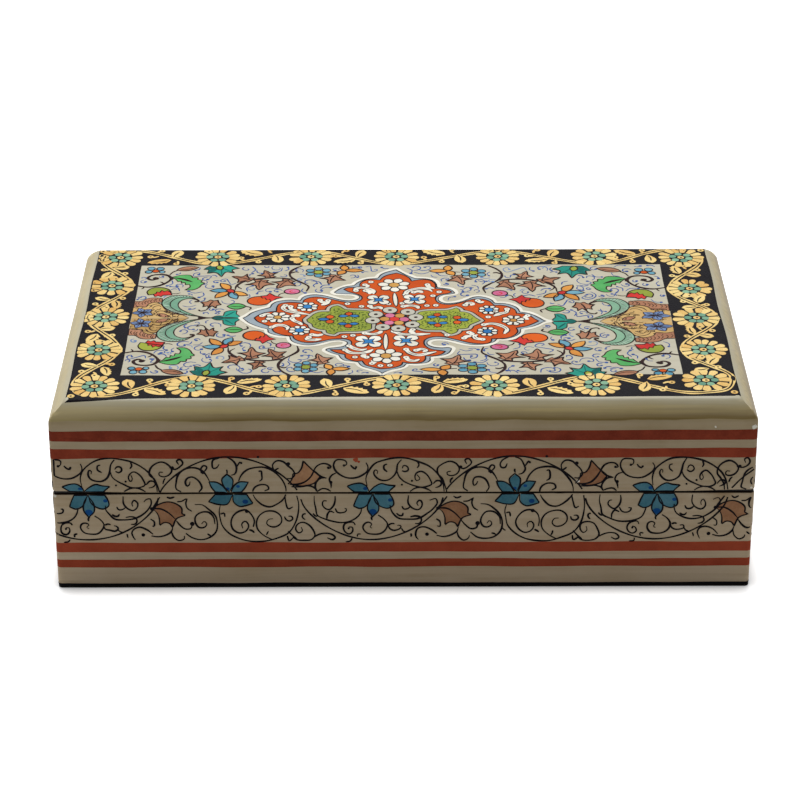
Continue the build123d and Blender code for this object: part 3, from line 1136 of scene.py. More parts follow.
# %% Paint the white scrolls
SCROLLS = [  # each white scroll, from its round end to its thin one
    [-15-18.2j, -13.6-19.8j, -11.2-20.1j, -8.9-19.2j, -7.8-18j],
    [-14-15.8j, -12.6-17.4j, -10.6-18.2j, -9.4-17.6j],
    [-10-8.2j, -7.9-8.8j, -6-7.8j, -5.6-6.5j],
    [-8-26.3j, -7.4-25.2j, -8.2-24.6j],
    [-24.6-10.6j, -25.2-11.7j, -23.6-12.2j, -21.3-11.7j],
    [-23.8-9j, -22.2-9.4j, -20.9-8.6j],
    [-34.6-4.4j, -32.9-3.1j, -31.2-3.5j, -30.3-4.8j, -30.6-6j],
    [-29.4+0.9j, -28.6-0.6j, -27.4-1.6j, -26.6-3j],
    [-28.9+2.6j, -28+3.2j, -27.9+1.9j],
    [-37.4+2.8j, -36.6+3.6j, -35.4+4.2j],
    [-31.4+9.2j, -32+7.6j, -31.1+6j, -29+5j, -27+4.2j, -24.8+3.4j],
    [-30+8.4j, -29.8+6.8j, -28.2+6j],
    [-22.2+12.4j, -21.6+11.2j, -20.2+11j],
    [-20+12.2j, -20.2+10.6j, -21.8+9.4j],
    [-8.8+8.6j, -8+7.3j, -6.2+7.8j, -5.4+6.6j],
    [-12.6+18.6j, -12.6+19.8j, -11.4+20.5j, -9.3+19.8j, -7.9+18.2j, -7.9+16.4j],
    [-10+18.6j, -8.8+17.6j, -9+16.4j],
    [-10.2+22.4j, -9.4+21.6j, -9.9+20.9j],
    [0.8+16j, 1.3+18j, 3.2+19.6j, 5.6+20.1j, 7.2+19.3j, 8+18j],
    [6.8+22.4j, 7.2+20.9j, 8.6+19.8j],
    [3+17.6j, 4.6+18.2j, 5.4+17.2j],
    [0.2+8.4j, 2.2+9j, 4+8.1j, 4.2+7j],
    [16.8+9.2j, 17.6+10.6j, 18.8+10j, 18.2+8.9j],
    [20.2+12j, 20.8+10.9j, 21.8+11.4j],
    [27.9+6.6j, 27.6+4.6j, 26+3.7j, 24.2+2.2j],
    [33.2+2.4j, 32.4+0.9j, 33.4+0.1j],
    [21.4-3.2j, 23.4-2.5j, 26-3.8j, 27.4-6j, 26.6-8.8j],
    [16-11.4j, 16.8-10.3j, 18-10.2j],
    [20.8-12.2j, 19.2-11.6j, 18.8-10j, 19.6-9.4j],
    [17.4-8j, 18.2-8.9j, 17.6-9.6j],
    [-2.4-7.2j, -0.8-8.7j, 3.2-9.1j, 7.2-8.7j],
    [2.6-6.2j, 2.2-7.4j, 3.2-8.6j],
    [0.8-18j, 1.8-20.1j, 4.1-21.4j, 6.5-20.4j, 8.6-19.4j],
    [3.4-18.6j, 4.8-17.8j, 6-18.6j, 5.2-19.6j],
    [0.8-22.8j, 1.4-24.3j, 3-24.8j, 4.2-23.9j],
    [-9.4-22.6j, -10.4-21.8j, -9.6-20.9j],
]
SCROLL_DOTS = [
    -15.3-10.2j, -13.1-9.5j, -12.4-22.5j, -5.8-27.6j, -3.4-27.4j, -14.8+10.2j, -11+8.4j, -8.6+24.3j,
    -3.8+10j, 9.9+17.7j, 8.2+15.2j, 8.9+9.1j, 6.5+8.9j, 22.7+1.6j, -0.1+10.4j, 11.6-9.5j,
    -36.6-0.6j, 24.6+5.1j,
]
for scroll in SCROLLS:
    path = smooth_line(scroll, 0.35)
    brush("medallion_lamp_black", path, 1.75, 3, thin=(0.95, 0.5))
    fill("medallion_lamp_black", dot(path[0], 1.02), 3)
    brush("medallion_white", path, 1.2, 4.5, thin=(0.9, 0.35))
    fill("medallion_white", dot(path[0], 0.8), 5)
    if len(path) > 12:
        brush("medallion_lamp_black", path[4 : -len(path) // 4], 0.22, 5.5)
    fill("medallion_lamp_black", dot(path[0], 0.2), 6)
for spot in SCROLL_DOTS:
    fill("medallion_lamp_black", dot(spot, 0.98), 3)
    fill("medallion_white", dot(spot, 0.75), 4.5)
    fill("medallion_lamp_black", dot(spot, 0.22), 6)
print("scrolls", len(SCROLLS))

# %% [markdown]
# ## The field
#
# Round the medallion the light ground carries one of each flower of the craft in every quarter:
# lotus, pomegranate, tulip bud, star flowers and ivy on dark stems.


# %% Draw in the front left quarter
def colour_in(warp, pigment, outline, level=2, width=0.42):
    """An outlined area of the field, drawn through a warp."""
    outlined(f"field_{pigment}", "field_sepia", warp(outline), level, width)


def stem(warp, points, width=0.75, thin=(0.8, 0.45)):
    """A dark stem of the field."""
    brush("field_sepia", warp(smooth_line(points)), width, 1, thin=thin)


def ivy(warp, base, tip):
    """An ivy leaf with its veins."""
    colour_in(warp, "leaf_brown", smooth_line(placed(IVY_LEAF, base, tip)))
    for vein in IVY_VEINS:
        brush("field_sepia", warp(smooth_line(placed(vein, base, tip))), 0.32, 4)


def ivy_branch(warp):
    """The main stem, its branches and their ivy leaves."""
    stem(warp, [-28.7-33.1j, -30.7-31j, -31.9-28.5j, -31.9-25.9j, -30.7-23.4j, -28.7-21.1j,
                -27.2-18.9j, -27.6-15.4j])
    stem(warp, [-30.9-23.6j, -33.9-24.3j, -37.1-24.4j, -41.3-23.2j, -43.9-21.3j, -45.1-19.2j,
                -45.4-16.5j])
    stem(warp, [-44.9-20.5j, -44.6-18.4j, -43.6-17.2j], 0.45)
    stem(warp, [-31.9-27.6j, -30.4-28.6j, -29.8-28.2j], 0.6)
    ivy(warp, -38.9-23.3j, -39.3-16.4j)
    ivy(warp, -31.9-23.2j, -34.9-17.4j)
    ivy(warp, -41.3-22.9j, -46.6-25.6j)
    ivy(warp, -36.8-24.7j, -38.4-29.6j)
    ivy(warp, -20.4-26.4j, -22.2-20.4j)


# %% Draw the star flower, the pomegranate and the leaves by it
def star_flower(warp):
    """Three orange petals and two blue about a red eye."""
    heart = -46.5-15.9j
    star = [(-50.5-11.3j, "orange_ochre"), (-44.6-10.6j, "sky_blue"), (-41.9-13j, "orange_ochre"),
            (-52.1-16.1j, "sky_blue"), (-49.5-21j, "orange_ochre")]
    for tip, pigment in star:
        foot = heart + 0.8 * (tip - heart) / abs(tip - heart)
        colour_in(warp, pigment, petal(foot, tip, 2.5, 0.9, 0.85, 0.25))
    colour_in(warp, "vermilion", petal(heart - 1.0 - 1.0j, heart + 1.0 + 1.0j, 1.9, 1.0, 0.7), 3)


def pomegranate(warp):
    """A pomegranate with a toothed red crown, and a pink bud beyond it."""
    colour_in(warp, "orange", dot(-39-9.4j, 2.9, 0.98))
    crown = [-38.8-12.4j, -38.2-11j, -37.6-11.3j, -37.2-9.9j, -36.5-10.4j, -35.9-8.7j, -34.9-10.6j,
             -33.3-11.6j, -35.2-12.4j, -36.6-14.3j, -37.2-12.8j]
    colour_in(warp, "vermilion", np.array(crown), 3)
    stem(warp, [-34.4-12.6j, -34.1-13.6j, -32.6-14.8j], 0.4)
    colour_in(warp, "pink", dot(-31.1-15.4j, 1.95, 0.88))
    brush("field_vermilion", warp(curl(-31.1-15.4j, 1.0, 0.4, 0.8)), 0.3, 4)


def two_leaves(warp):
    """The leaf beside the pomegranate, and a curled brown leaf."""
    stem(warp, [-42-5.9j, -40.8-5j, -41.2-3.6j], 0.5)
    colour_in(warp, "leaf_green", petal(-47-5.9j, -42-5.9j, 3.7, 1.0, 0.75))
    brush("field_sepia", warp(smooth_line([-46.2-6j, -44.5-5.7j, -42.4-5.9j])), 0.25, 4)
    lobes = [-51.8-4.9j, -51.8-4.9j, -51-6.3j, -51-6.3j, -49.8-4.7j, -49.8-4.7j, -49.7-6.4j,
             -48.6-7j, -48.6-7j, -49.3-8.2j, -49.6-9.9j, -49.6-9.9j, -50.7-9.5j, -51.6-10.1j,
             -51.6-10.1j, -52.4-9j, -54.1-8.6j, -54.1-8.6j, -53.2-7.1j, -53.4-5.6j, -53.4-5.6j,
             -52.2-6.3j, -52.2-6.3j, -51.8-4.9j]
    colour_in(warp, "leaf_brown", smooth_line(lobes))
    brush("field_sepia", warp(smooth_line([-51.8-5.4j, -51.5-7.2j, -50.8-9.2j])), 0.45, 4)
    stem(warp, [-51-9.2j, -51.4-7.4j, -51.9-5.1j, -52.6-3.4j, -54-3j, -54.4-3.8j], 0.5, (0.6, 1))


# %% Draw the lotus and the corner flower
def lotus(warp):
    """A lotus on the border, with a lime bud in it."""
    outline = [-52.6-33.1j, -53.6-31.8j, -54.5-30.3j, -54.5-30.3j, -53.4-30.2j, -53.4-27.7j,
               -53.4-27.7j, -51.4-28.2j, -49.5-25.4j, -49.5-25.4j, -48.2-28.6j, -46.1-27.8j,
               -46.1-27.8j, -46.8-30j, -44.9-31.1j, -44.9-31.1j, -46.6-32.2j, -47.6-33.1j,
               -47.6-33.1j, -52.6-33.1j]
    colour_in(warp, "viridian", smooth_line(outline))
    fill("field_dark_viridian", warp(petal(-51.2-32.9j, -54.1-30j, 1.9)), 3)
    fill("field_dark_viridian", warp(petal(-50.9-31.4j, -53.2-27.9j, 1.6)), 3)
    for tip in (-49.5-26.4j, -46.6-28.4j):
        brush("field_dark_viridian", warp(smooth_line([-49.8-31.4j, tip])), 0.3, 3)
    colour_in(warp, "lime", petal(-50.6-33j, -50-29.9j, 1.9, 1.0, 0.6), 4)


def corner_flower(warp):
    """The corner flower, its spiral stem and the bud on it."""
    blues = [(-68.9-31j, 1.05), (-66.4-30.8j, 1.05), (-69.5-28.8j, 0.95), (-65.8-28.7j, 0.8)]
    for at, size in blues:
        colour_in(warp, "sky_blue", dot(at, size), 2, 0.34)
    colour_in(warp, "orange", dot(-67.6-29.2j, 0.9), 4, 0.28)
    stem(warp, [-72-19.6j, -69-18.7j, -66.4-19.4j, -64.1-21.6j, -63.1-24.3j, -64.2-26.4j, -66.3-27j,
                -68.7-26.2j, -69.4-24.6j, -68.2-23.4j, -66.9-24.2j], 0.85, (0.8, 0.9))
    twigs = [(-64.9-20.9j, -65.9-22.2j), (-63.3-25.6j, -62.6-23.4j), (-70-18.8j, -70.6-17.4j)]
    for a, b in twigs:
        stem(warp, [a, (a + b) / 2 + 0.2, b], 0.5, (1, 0.4))
    brush("field_sepia", warp(curl(-67.2-24.6j, 1.0, 0.4, 0.9)), 0.5, 2)
    fill("field_sepia", warp(dot(-67-24.5j, 0.6)), 3)
    stem(warp, [-63.6-26.7j, -62.8-28.6j, -61.3-30j], 0.5)
    colour_in(warp, "leaf_brown", petal(-61.9-29.9j, -56-31.8j, 2.7, 0.95, 0.75))
    brush("field_sepia", warp(smooth_line([-61-30.4j, -58.8-30.4j, -56.8-31.5j])), 0.25, 4)


# %% Draw the toothed leaf, the tulip bud and the blue flower
def toothed_leaf(warp):
    """A large green leaf with a toothed edge."""
    leaf = [-62.9-25.1j, -62.9-25.1j, -61.7-23.6j, -61.1-22.2j, -61.1-22.2j, -60.3-22.5j, -60.1-21j,
            -60.1-21j, -59.3-21.6j, -58.9-20j, -58.9-20j, -58.1-20.3j, -57.6-18.6j, -58.8-16.7j,
            -58.8-16.7j, -56.9-16.6j, -55.2-18.2j, -54.6-19.9j, -54.6-19.9j, -53.9-21.2j,
            -54.9-21.7j, -54.9-21.7j, -54.6-22.9j, -55.8-23.4j, -55.8-23.4j, -55.9-24.7j,
            -57.2-24.7j, -57.2-24.7j, -57.9-26.2j, -60.4-26.4j, -62.9-25.1j]
    colour_in(warp, "leaf_green", smooth_line(leaf), 2, 0.35)
    fill("field_sepia", warp(petal(-62.6-24.9j, -57-21.8j, 0.95, 1.2, 0.8, -0.3)), 4)


def tulip_bud(warp):
    """A lime cup and a toothed red heart."""
    cup = smooth_line([-68.4-13.4j, -68.4-13.4j, -68.9-15.6j, -67.6-17.9j, -65.3-18.3j, -63.3-17.1j,
                       -62.4-15.2j, -62.4-15.2j, -65.4-14.4j, -68.4-13.4j])
    colour_in(warp, "lime", cup)
    heart = [-67.1-13.7j, -66.5-12.2j, -65.8-13j, -65-12.3j, -64.4-13.2j, -62.1-13.4j, -62.6-15.2j,
             -63.5-16.2j, -64.3-15.5j, -65-16.4j, -65.5-15j, -66.3-15.4j, -66.4-14.4j]
    colour_in(warp, "vermilion", np.array(heart), 3)
    stem(warp, [-62.3-14.3j, -60.9-14.2j, -59.9-14.9j], 0.35)


def blue_flower(warp):
    """A blue flower with three ochre leaves."""
    eye = -24.9-28.3j
    for k in range(6):
        round_petal = dot(eye + 2.35 * np.exp(1j * (0.5 + pi * k / 3)), 1.05)
        colour_in(warp, "sky_blue", round_petal, 2, 0.32)
    colour_in(warp, "lime", dot(eye, 1.15), 4, 0.22)
    stem(warp, [-21.6-28.6j, -20-28.9j, -19-29j], 0.35)
    for tip in (-20-26.6j, -13.6-29.3j, -18.6-33j):
        colour_in(warp, "orange_ochre", petal(-18.3-29.5j, tip, 2.2, 0.9, 0.8))


# %% Paint the four quarters of the field
MOTIFS = (
    ivy_branch,
    star_flower,
    pomegranate,
    two_leaves,
    lotus,
    corner_flower,
    toothed_leaf,
    tulip_bud,
    blue_flower,
)
for warp in field_warps:
    for motif in MOTIFS:
        motif(warp)
print("field", marks_made, "marks so far")

# %% [markdown]
# ## Crescents and palmettes at the ends
#
# At each end two striped crescents open away from a short stalk, and behind them half a palmette
# grows out of the border. They are drawn once for the front half of the left end.

# %% Paint the two ends
END_X = (-90, -72, -64.6, -52.3, -43, -20)
RIGHT_X = (89, 71.2, 60.6, 47.4, 39.4, 16)
END_Y = (-30, 1.5, 20)
end_warps = [
    make_warp(END_X, END_X, END_Y, END_Y),
    make_warp(END_X, END_X, END_Y, (33, 1.5, -17)),
    make_warp(END_X, RIGHT_X, END_Y, (-33, -1.2, 17.5)),
    make_warp(END_X, RIGHT_X, END_Y, (30.5, -1.2, -20)),
]
CRESCENT_OUTER = [-51.8+1.4j, -54.6+0.6j, -58.6-0.9j, -62.4-3.5j, -64.6-7.2j, -64.2-10.2j,
                  -62.2-12.5j, -59.4-12.9j, -56.8-12j, -55.3-10.2j]
CRESCENT_INNER = [-51.8+1.4j, -54.9+0j, -57.6-2.2j, -59.6-4.6j, -60.2-7.4j, -59.3-9.9j, -57.6-10.9j,
                  -55.3-10.2j]


def end_half(warp):
    """Half of one end: a crescent, half a palmette and half a bud."""
    outer = smooth_line(CRESCENT_OUTER)
    share = np.linspace(0, 1, len(outer))
    inner_line = smooth_line(CRESCENT_INNER)
    inner_share = np.linspace(0, 1, len(inner_line))
    inner = np.interp(share, inner_share, inner_line)
    whole = np.concatenate([outer[:-1], inner[:0:-1]])
    outlined("ends_celadon", "ends_sepia", warp(whole), 2, 0.34)
    middle = outer * 0.5 + inner * 0.5
    brush("ends_sepia", warp(middle[3:-3]), 0.28, 4)
    for k in range(3, len(outer) - 3):
        near = 0.92 * outer[k] + 0.08 * inner[k]
        far = 0.56 * outer[k] + 0.44 * inner[k + 1]
        brush("ends_pale_green", warp(np.linspace(near, far, 3)), 0.24, 3, thin=(1, 0.4))
        if k % 2:
            brush("ends_sepia", warp(np.linspace(near, far, 3) + 0.22), 0.17, 3.5, thin=(1, 0.4))
    horn = smooth_line([-56.8-11j, -55.2-10j, -54.8-8.9j, -55.9-8.9j])
    brush("ends_sepia", warp(horn), 0.7, 4, thin=(0.5, 1))
    brush("ends_sepia", warp(smooth_line([-54.4+1.2j, -52+1.4j, -50.6+1.5j])), 0.5, 4)

    palmette = [-72+1.4j, -72+1.4j, -72-8.6j, -72-8.6j, -69.4-9.6j, -66.8-9.2j, -64.9-7.4j,
                -63.4-4j, -61-1.6j, -58.4-0.2j, -56.8+1.4j, -56.8+1.4j, -72+1.4j]
    fill("ends_straw_ochre", warp(smooth_line(palmette)), 1)
    band = [-72-5j, -72-5j, -72-9j, -72-9j, -70.2-9.2j, -68.8-10.8j, -66.6-11.4j, -64.7-10.9j,
            -64.7-10.9j, -64.9-8.6j, -66.8-8.4j, -68.2-7.2j, -68.8-5.4j, -70.4-5.8j, -72-5j]
    outlined("ends_leaf_brown", "ends_sepia", warp(smooth_line(band)), 2, 0.28)
    for k in range(9):
        base = -71.2-6.4j + k * (0.76-0.34j)
        sweep = smooth_line([base, base - 0.35 - 1.0j, base + 0.15 - 2.2j])
        brush("ends_sepia", warp(sweep + complex(*hand.normal(0, 0.12, 2))), 0.2, 4)
    brush("ends_sepia", warp(smooth_line(palmette[5:11])), 0.34, 2)
    bud = petal(-62.3+0.9j, -65.4-1.2j, 1.9, 1.0, 0.7)
    outlined("ends_leaf_brown", "ends_sepia", warp(bud), 2, 0.3)
    stalk = smooth_line([-60.9+1j, -61.9-1.7j, -64.6-3j, -66.3-2.4j])
    brush("ends_sepia", warp(stalk), 0.35, 2)
    flower = -69.2-1.9j
    for k in range(5):
        way = np.exp(1j * (0.5 + 2 * pi * k / 5))
        blue_petal = petal(flower, flower + 3.0 * way, 2.0, 0.95, 1.0)
        outlined("ends_violet_blue", "ends_sepia", warp(blue_petal), 3, 0.26)
        brush("ends_sepia", warp(flower + np.array([0.4, 1.4, 2.2]) * way), 0.24, 6)
    brush("ends_sepia", warp(smooth_line([-67.8-5j, -67-6.8j, -65.4-7.6j, -63.8-6.6j])), 0.3, 2)
    twig = smooth_line([-67-4.6j, -66.2-6j, -65.2-6.4j, -64.6-5.4j])
    brush("ends_sepia", warp(twig), 0.24, 2)
    spots = hand.uniform(0, 1, (60, 3))
    for u, v, turn in spots:
        at = complex(-71.5 + 12.5 * u, 1.2 - 9.0 * v * (1 - 0.62 * u))
        if abs(at - flower) < 2.6:
            continue
        hook = curl(at, 0.55 + 0.25 * v, turn * 6, 0.5, 0.4)
        brush("ends_sepia", warp(hook), 0.25, 2)
    bud = [-50.8+1.4j, -50.8+1.4j, -49.4+0.2j, -47.7+0.2j, -47.7+0.2j, -47.2-2.4j, -45.8-3.2j,
           -44.2-3.1j, -44.2-3.1j, -44.3-1.2j, -43.3+0.9j, -43.6+1.6j, -43.6+1.6j, -50.8+1.4j]
    outlined("ends_viridian", "ends_sepia", warp(smooth_line(bud)), 2, 0.3)
    fill("ends_dark_viridian", warp(petal(-50.6+1.4j, -47.3+1.4j, 2.2, 0.9, 0.8)), 3)
    brush("ends_dark_viridian", warp(smooth_line([-47.2+0.4j, -46-1j, -44.8-2.5j])), 0.45, 3.5)
    brush("ends_sepia", warp(smooth_line([-47.9+1.4j, -46.2+1.3j, -43.7+1.5j])), 0.42, 4)


for warp in end_warps:
    end_half(warp)
print("ends painted")

# %% [markdown]
# ## Blue brushwork
#
# Last the painter fills what ground is left with a fine brush of blue: hooks, double curls and
# dots. Here each new mark is tried at a seeded place and kept only where nothing is painted yet.

# %% Fill the ground with blue curls
KEEP_CLEAR = 0.36  # round every mark
FIELD_MARGIN = 0.5
TRIES = 9000
DOTTED = 0.7  # share of the curls that end in a dot
BLUE_HOOKS = (
    [-1.3, -0.9+0.8j, 0, 0.9-0.8j, 1.4, 1+0.5j, 0.7],
    [-1.2-0.4j, -0.6+0.5j, 0.3+0.6j, 1.0, 0.8-0.7j, 0.2-0.5j],
    [-0.8, 0.1+0.35j, 0.8-0.1j],
)
HOOK_SPACING = (0.25, 0.25, 0.3)
field_left, field_right, field_front, field_back = BAND_INNER
steps = [complex(i, j) * BUSY_CELL for i in range(-2, 3) for j in range(-2, 3)]
spread = np.array([step for step in steps if abs(step) <= KEEP_CLEAR])
rows, columns = np.nonzero(busy)
painted = (rows - BUSY_LONG // 2) * BUSY_CELL + 1j * (columns - BUSY_WIDE // 2) * BUSY_CELL
busy[cells((painted[:, None] + spread[None, :]).ravel())] = True
busy[cells(lattice(inset(medallion, -0.1), 0.25))] = True


def is_free(points):
    """True where none of these points is on other paint or off the field."""
    x, y = points.real, points.imag
    within = (x > field_left + FIELD_MARGIN) & (x < field_right - FIELD_MARGIN)
    within &= (y > field_front + FIELD_MARGIN) & (y < field_back - FIELD_MARGIN)
    return bool(np.all(within)) and not busy[cells(points)].any()


def blue_mark(at, size, turn, way):
    """A curl or one of three hooks, in its place."""
    kind = hand.integers(0, 4)
    if kind == 0:
        shape = curl(0, 1, 0, 0.75 * way, 0.35)
    else:
        shape = smooth_line(BLUE_HOOKS[kind - 1], HOOK_SPACING[kind - 1])
    shape = shape if way > 0 else np.conj(shape)
    return at + size * shape * np.exp(1j * turn)


kept = 0
for attempt in range(TRIES):
    share = attempt / TRIES
    size = 2.6 - 1.7 * share**0.6 + hand.uniform(-0.15, 0.15)
    at = complex(hand.uniform(field_left, field_right), hand.uniform(field_front, field_back))
    mark = blue_mark(at, size, hand.uniform(0, 2 * pi), hand.choice([-1, 1]))
    if not is_free(mark):
        continue
    kept += 1
    pigment = "field_ultramarine" if hand.random() < 0.95 else "field_pale_blue"
    brush(pigment, mark, hand.uniform(0.28, 0.38), 1, thin=(0.6, 0.7))
    busy[cells((mark[:, None] + spread[None, :]).ravel())] = True
    if hand.random() < DOTTED:
        fill(pigment, dot(mark[-1], hand.uniform(0.34, 0.52)), 1.5)
print("blue marks", kept)

# %% [markdown]
# ## The walls
#
# Two brick red stripes run round the box above and below; the lid's pair take a darker copy of the
# red as painted shade. Between them a thin black vine waves over and under the seam, with a blue
# lotus in each wave. The wave repeats by a glide: each half wave is the last one turned upside
# down.
# The lid and base were painted together, so each mark is cut where it crosses the seam, and either
# part rides on its own half. The black of the underside is brushed up over the lower edge, a few
# chips and a blot show that the box has been used, and two white glints at the bevel's foot are
# painted highlights.

# %% Helpers for the walls
STRIPES = (  # lower edge, upper edge, pigment and how dark
    # The lid's stripes take a darker copy of the brick red, as painted shade towards the top of the
    # wall; the top stripe is also the darkest.
    (42.5, 45.3, "dark_brick_red", 0.7),
    (37.6, 40.2, "dark_brick_red", -0.4),
    (10.5, 13.3, "brick_red", -0.35),
    (6.1, 8.4, "brick_red", 0.25),
)
BLACK_FOOT = (0.98, 1.34)  # the black of the underside, brushed up over the lower edge
VINE_MIDDLE = 26.1
VINE_RISE = 11.9
VINE_WIDTH = 0.44
VINE_ROUNDNESS = 0.62  # less than one makes the waves fuller than a sine
HALF_WAVE = 36.0
SEAM_CLEAR = 0.2  # paint stops this far from the seam
RULING_SWELL = 0.15  # how far a stripe's edges waver
RULING_STEP = 0.7
print("stripes", len(STRIPES), "round the box")


def wall_line(pigment, sheet, line, width, level=2, thin=(0.7, 0.5)):
    """A brush line on a wall, cut at the seam."""
    for body, way in (("lid", 1), ("base", -1)):
        free = way * (line.imag - seam_height) > SEAM_CLEAR
        breaks = np.flatnonzero(np.diff(free.astype(int))) + 1
        for part, is_in in zip(np.split(line, breaks), np.split(free, breaks)):
            if is_in[0] and len(part) > 2:
                brush(f"{body}_wall_{pigment}", part, width, level, sheet, thin)


def wall_fill(pigment, sheet, outline, level=2):
    """An area of paint on a wall, cut at the seam."""
    following = np.roll(outline, -1)
    for body, way in (("lid", 1), ("base", -1)):
        limit = seam_height + way * SEAM_CLEAR
        kept_points = []
        for a, b in zip(outline, following):
            if way * (a.imag - limit) >= 0:
                kept_points.append(a)
            if (a.imag - limit) * (b.imag - limit) < 0:
                kept_points.append(a + (b - a) * (limit - a.imag) / (b.imag - a.imag))
        if len(kept_points) > 2:
            fill(f"{body}_wall_{pigment}", np.array(kept_points), level, sheet)


def stripe(pigment, sheet, low, high, flat, tone):
    """A stripe along a wall and half way round its corners, with edges ruled by hand."""
    body = "lid" if low > seam_height else "base"
    round_corner = CORNER_RADIUS * pi / 2 / CORNER_STEPS * np.arange(1, CORNER_STEPS // 2 + 1)
    along = np.linspace(-flat, flat, round(flat / RULING_STEP))
    s = np.concatenate([-flat - round_corner[::-1], along, flat + round_corner])
    edges = [s + 1j * (edge + RULING_SWELL * swell(s, s * 0, edge)) for edge in (low, high)]
    n = len(s)
    faces = [(i, i + 1, n + i + 1, n + i) for i in range(n - 1)]
    tone = tone + shade() * 0.15
    lay(f"{body}_wall_{pigment}", sheet, np.concatenate(edges), faces, 1, tone)


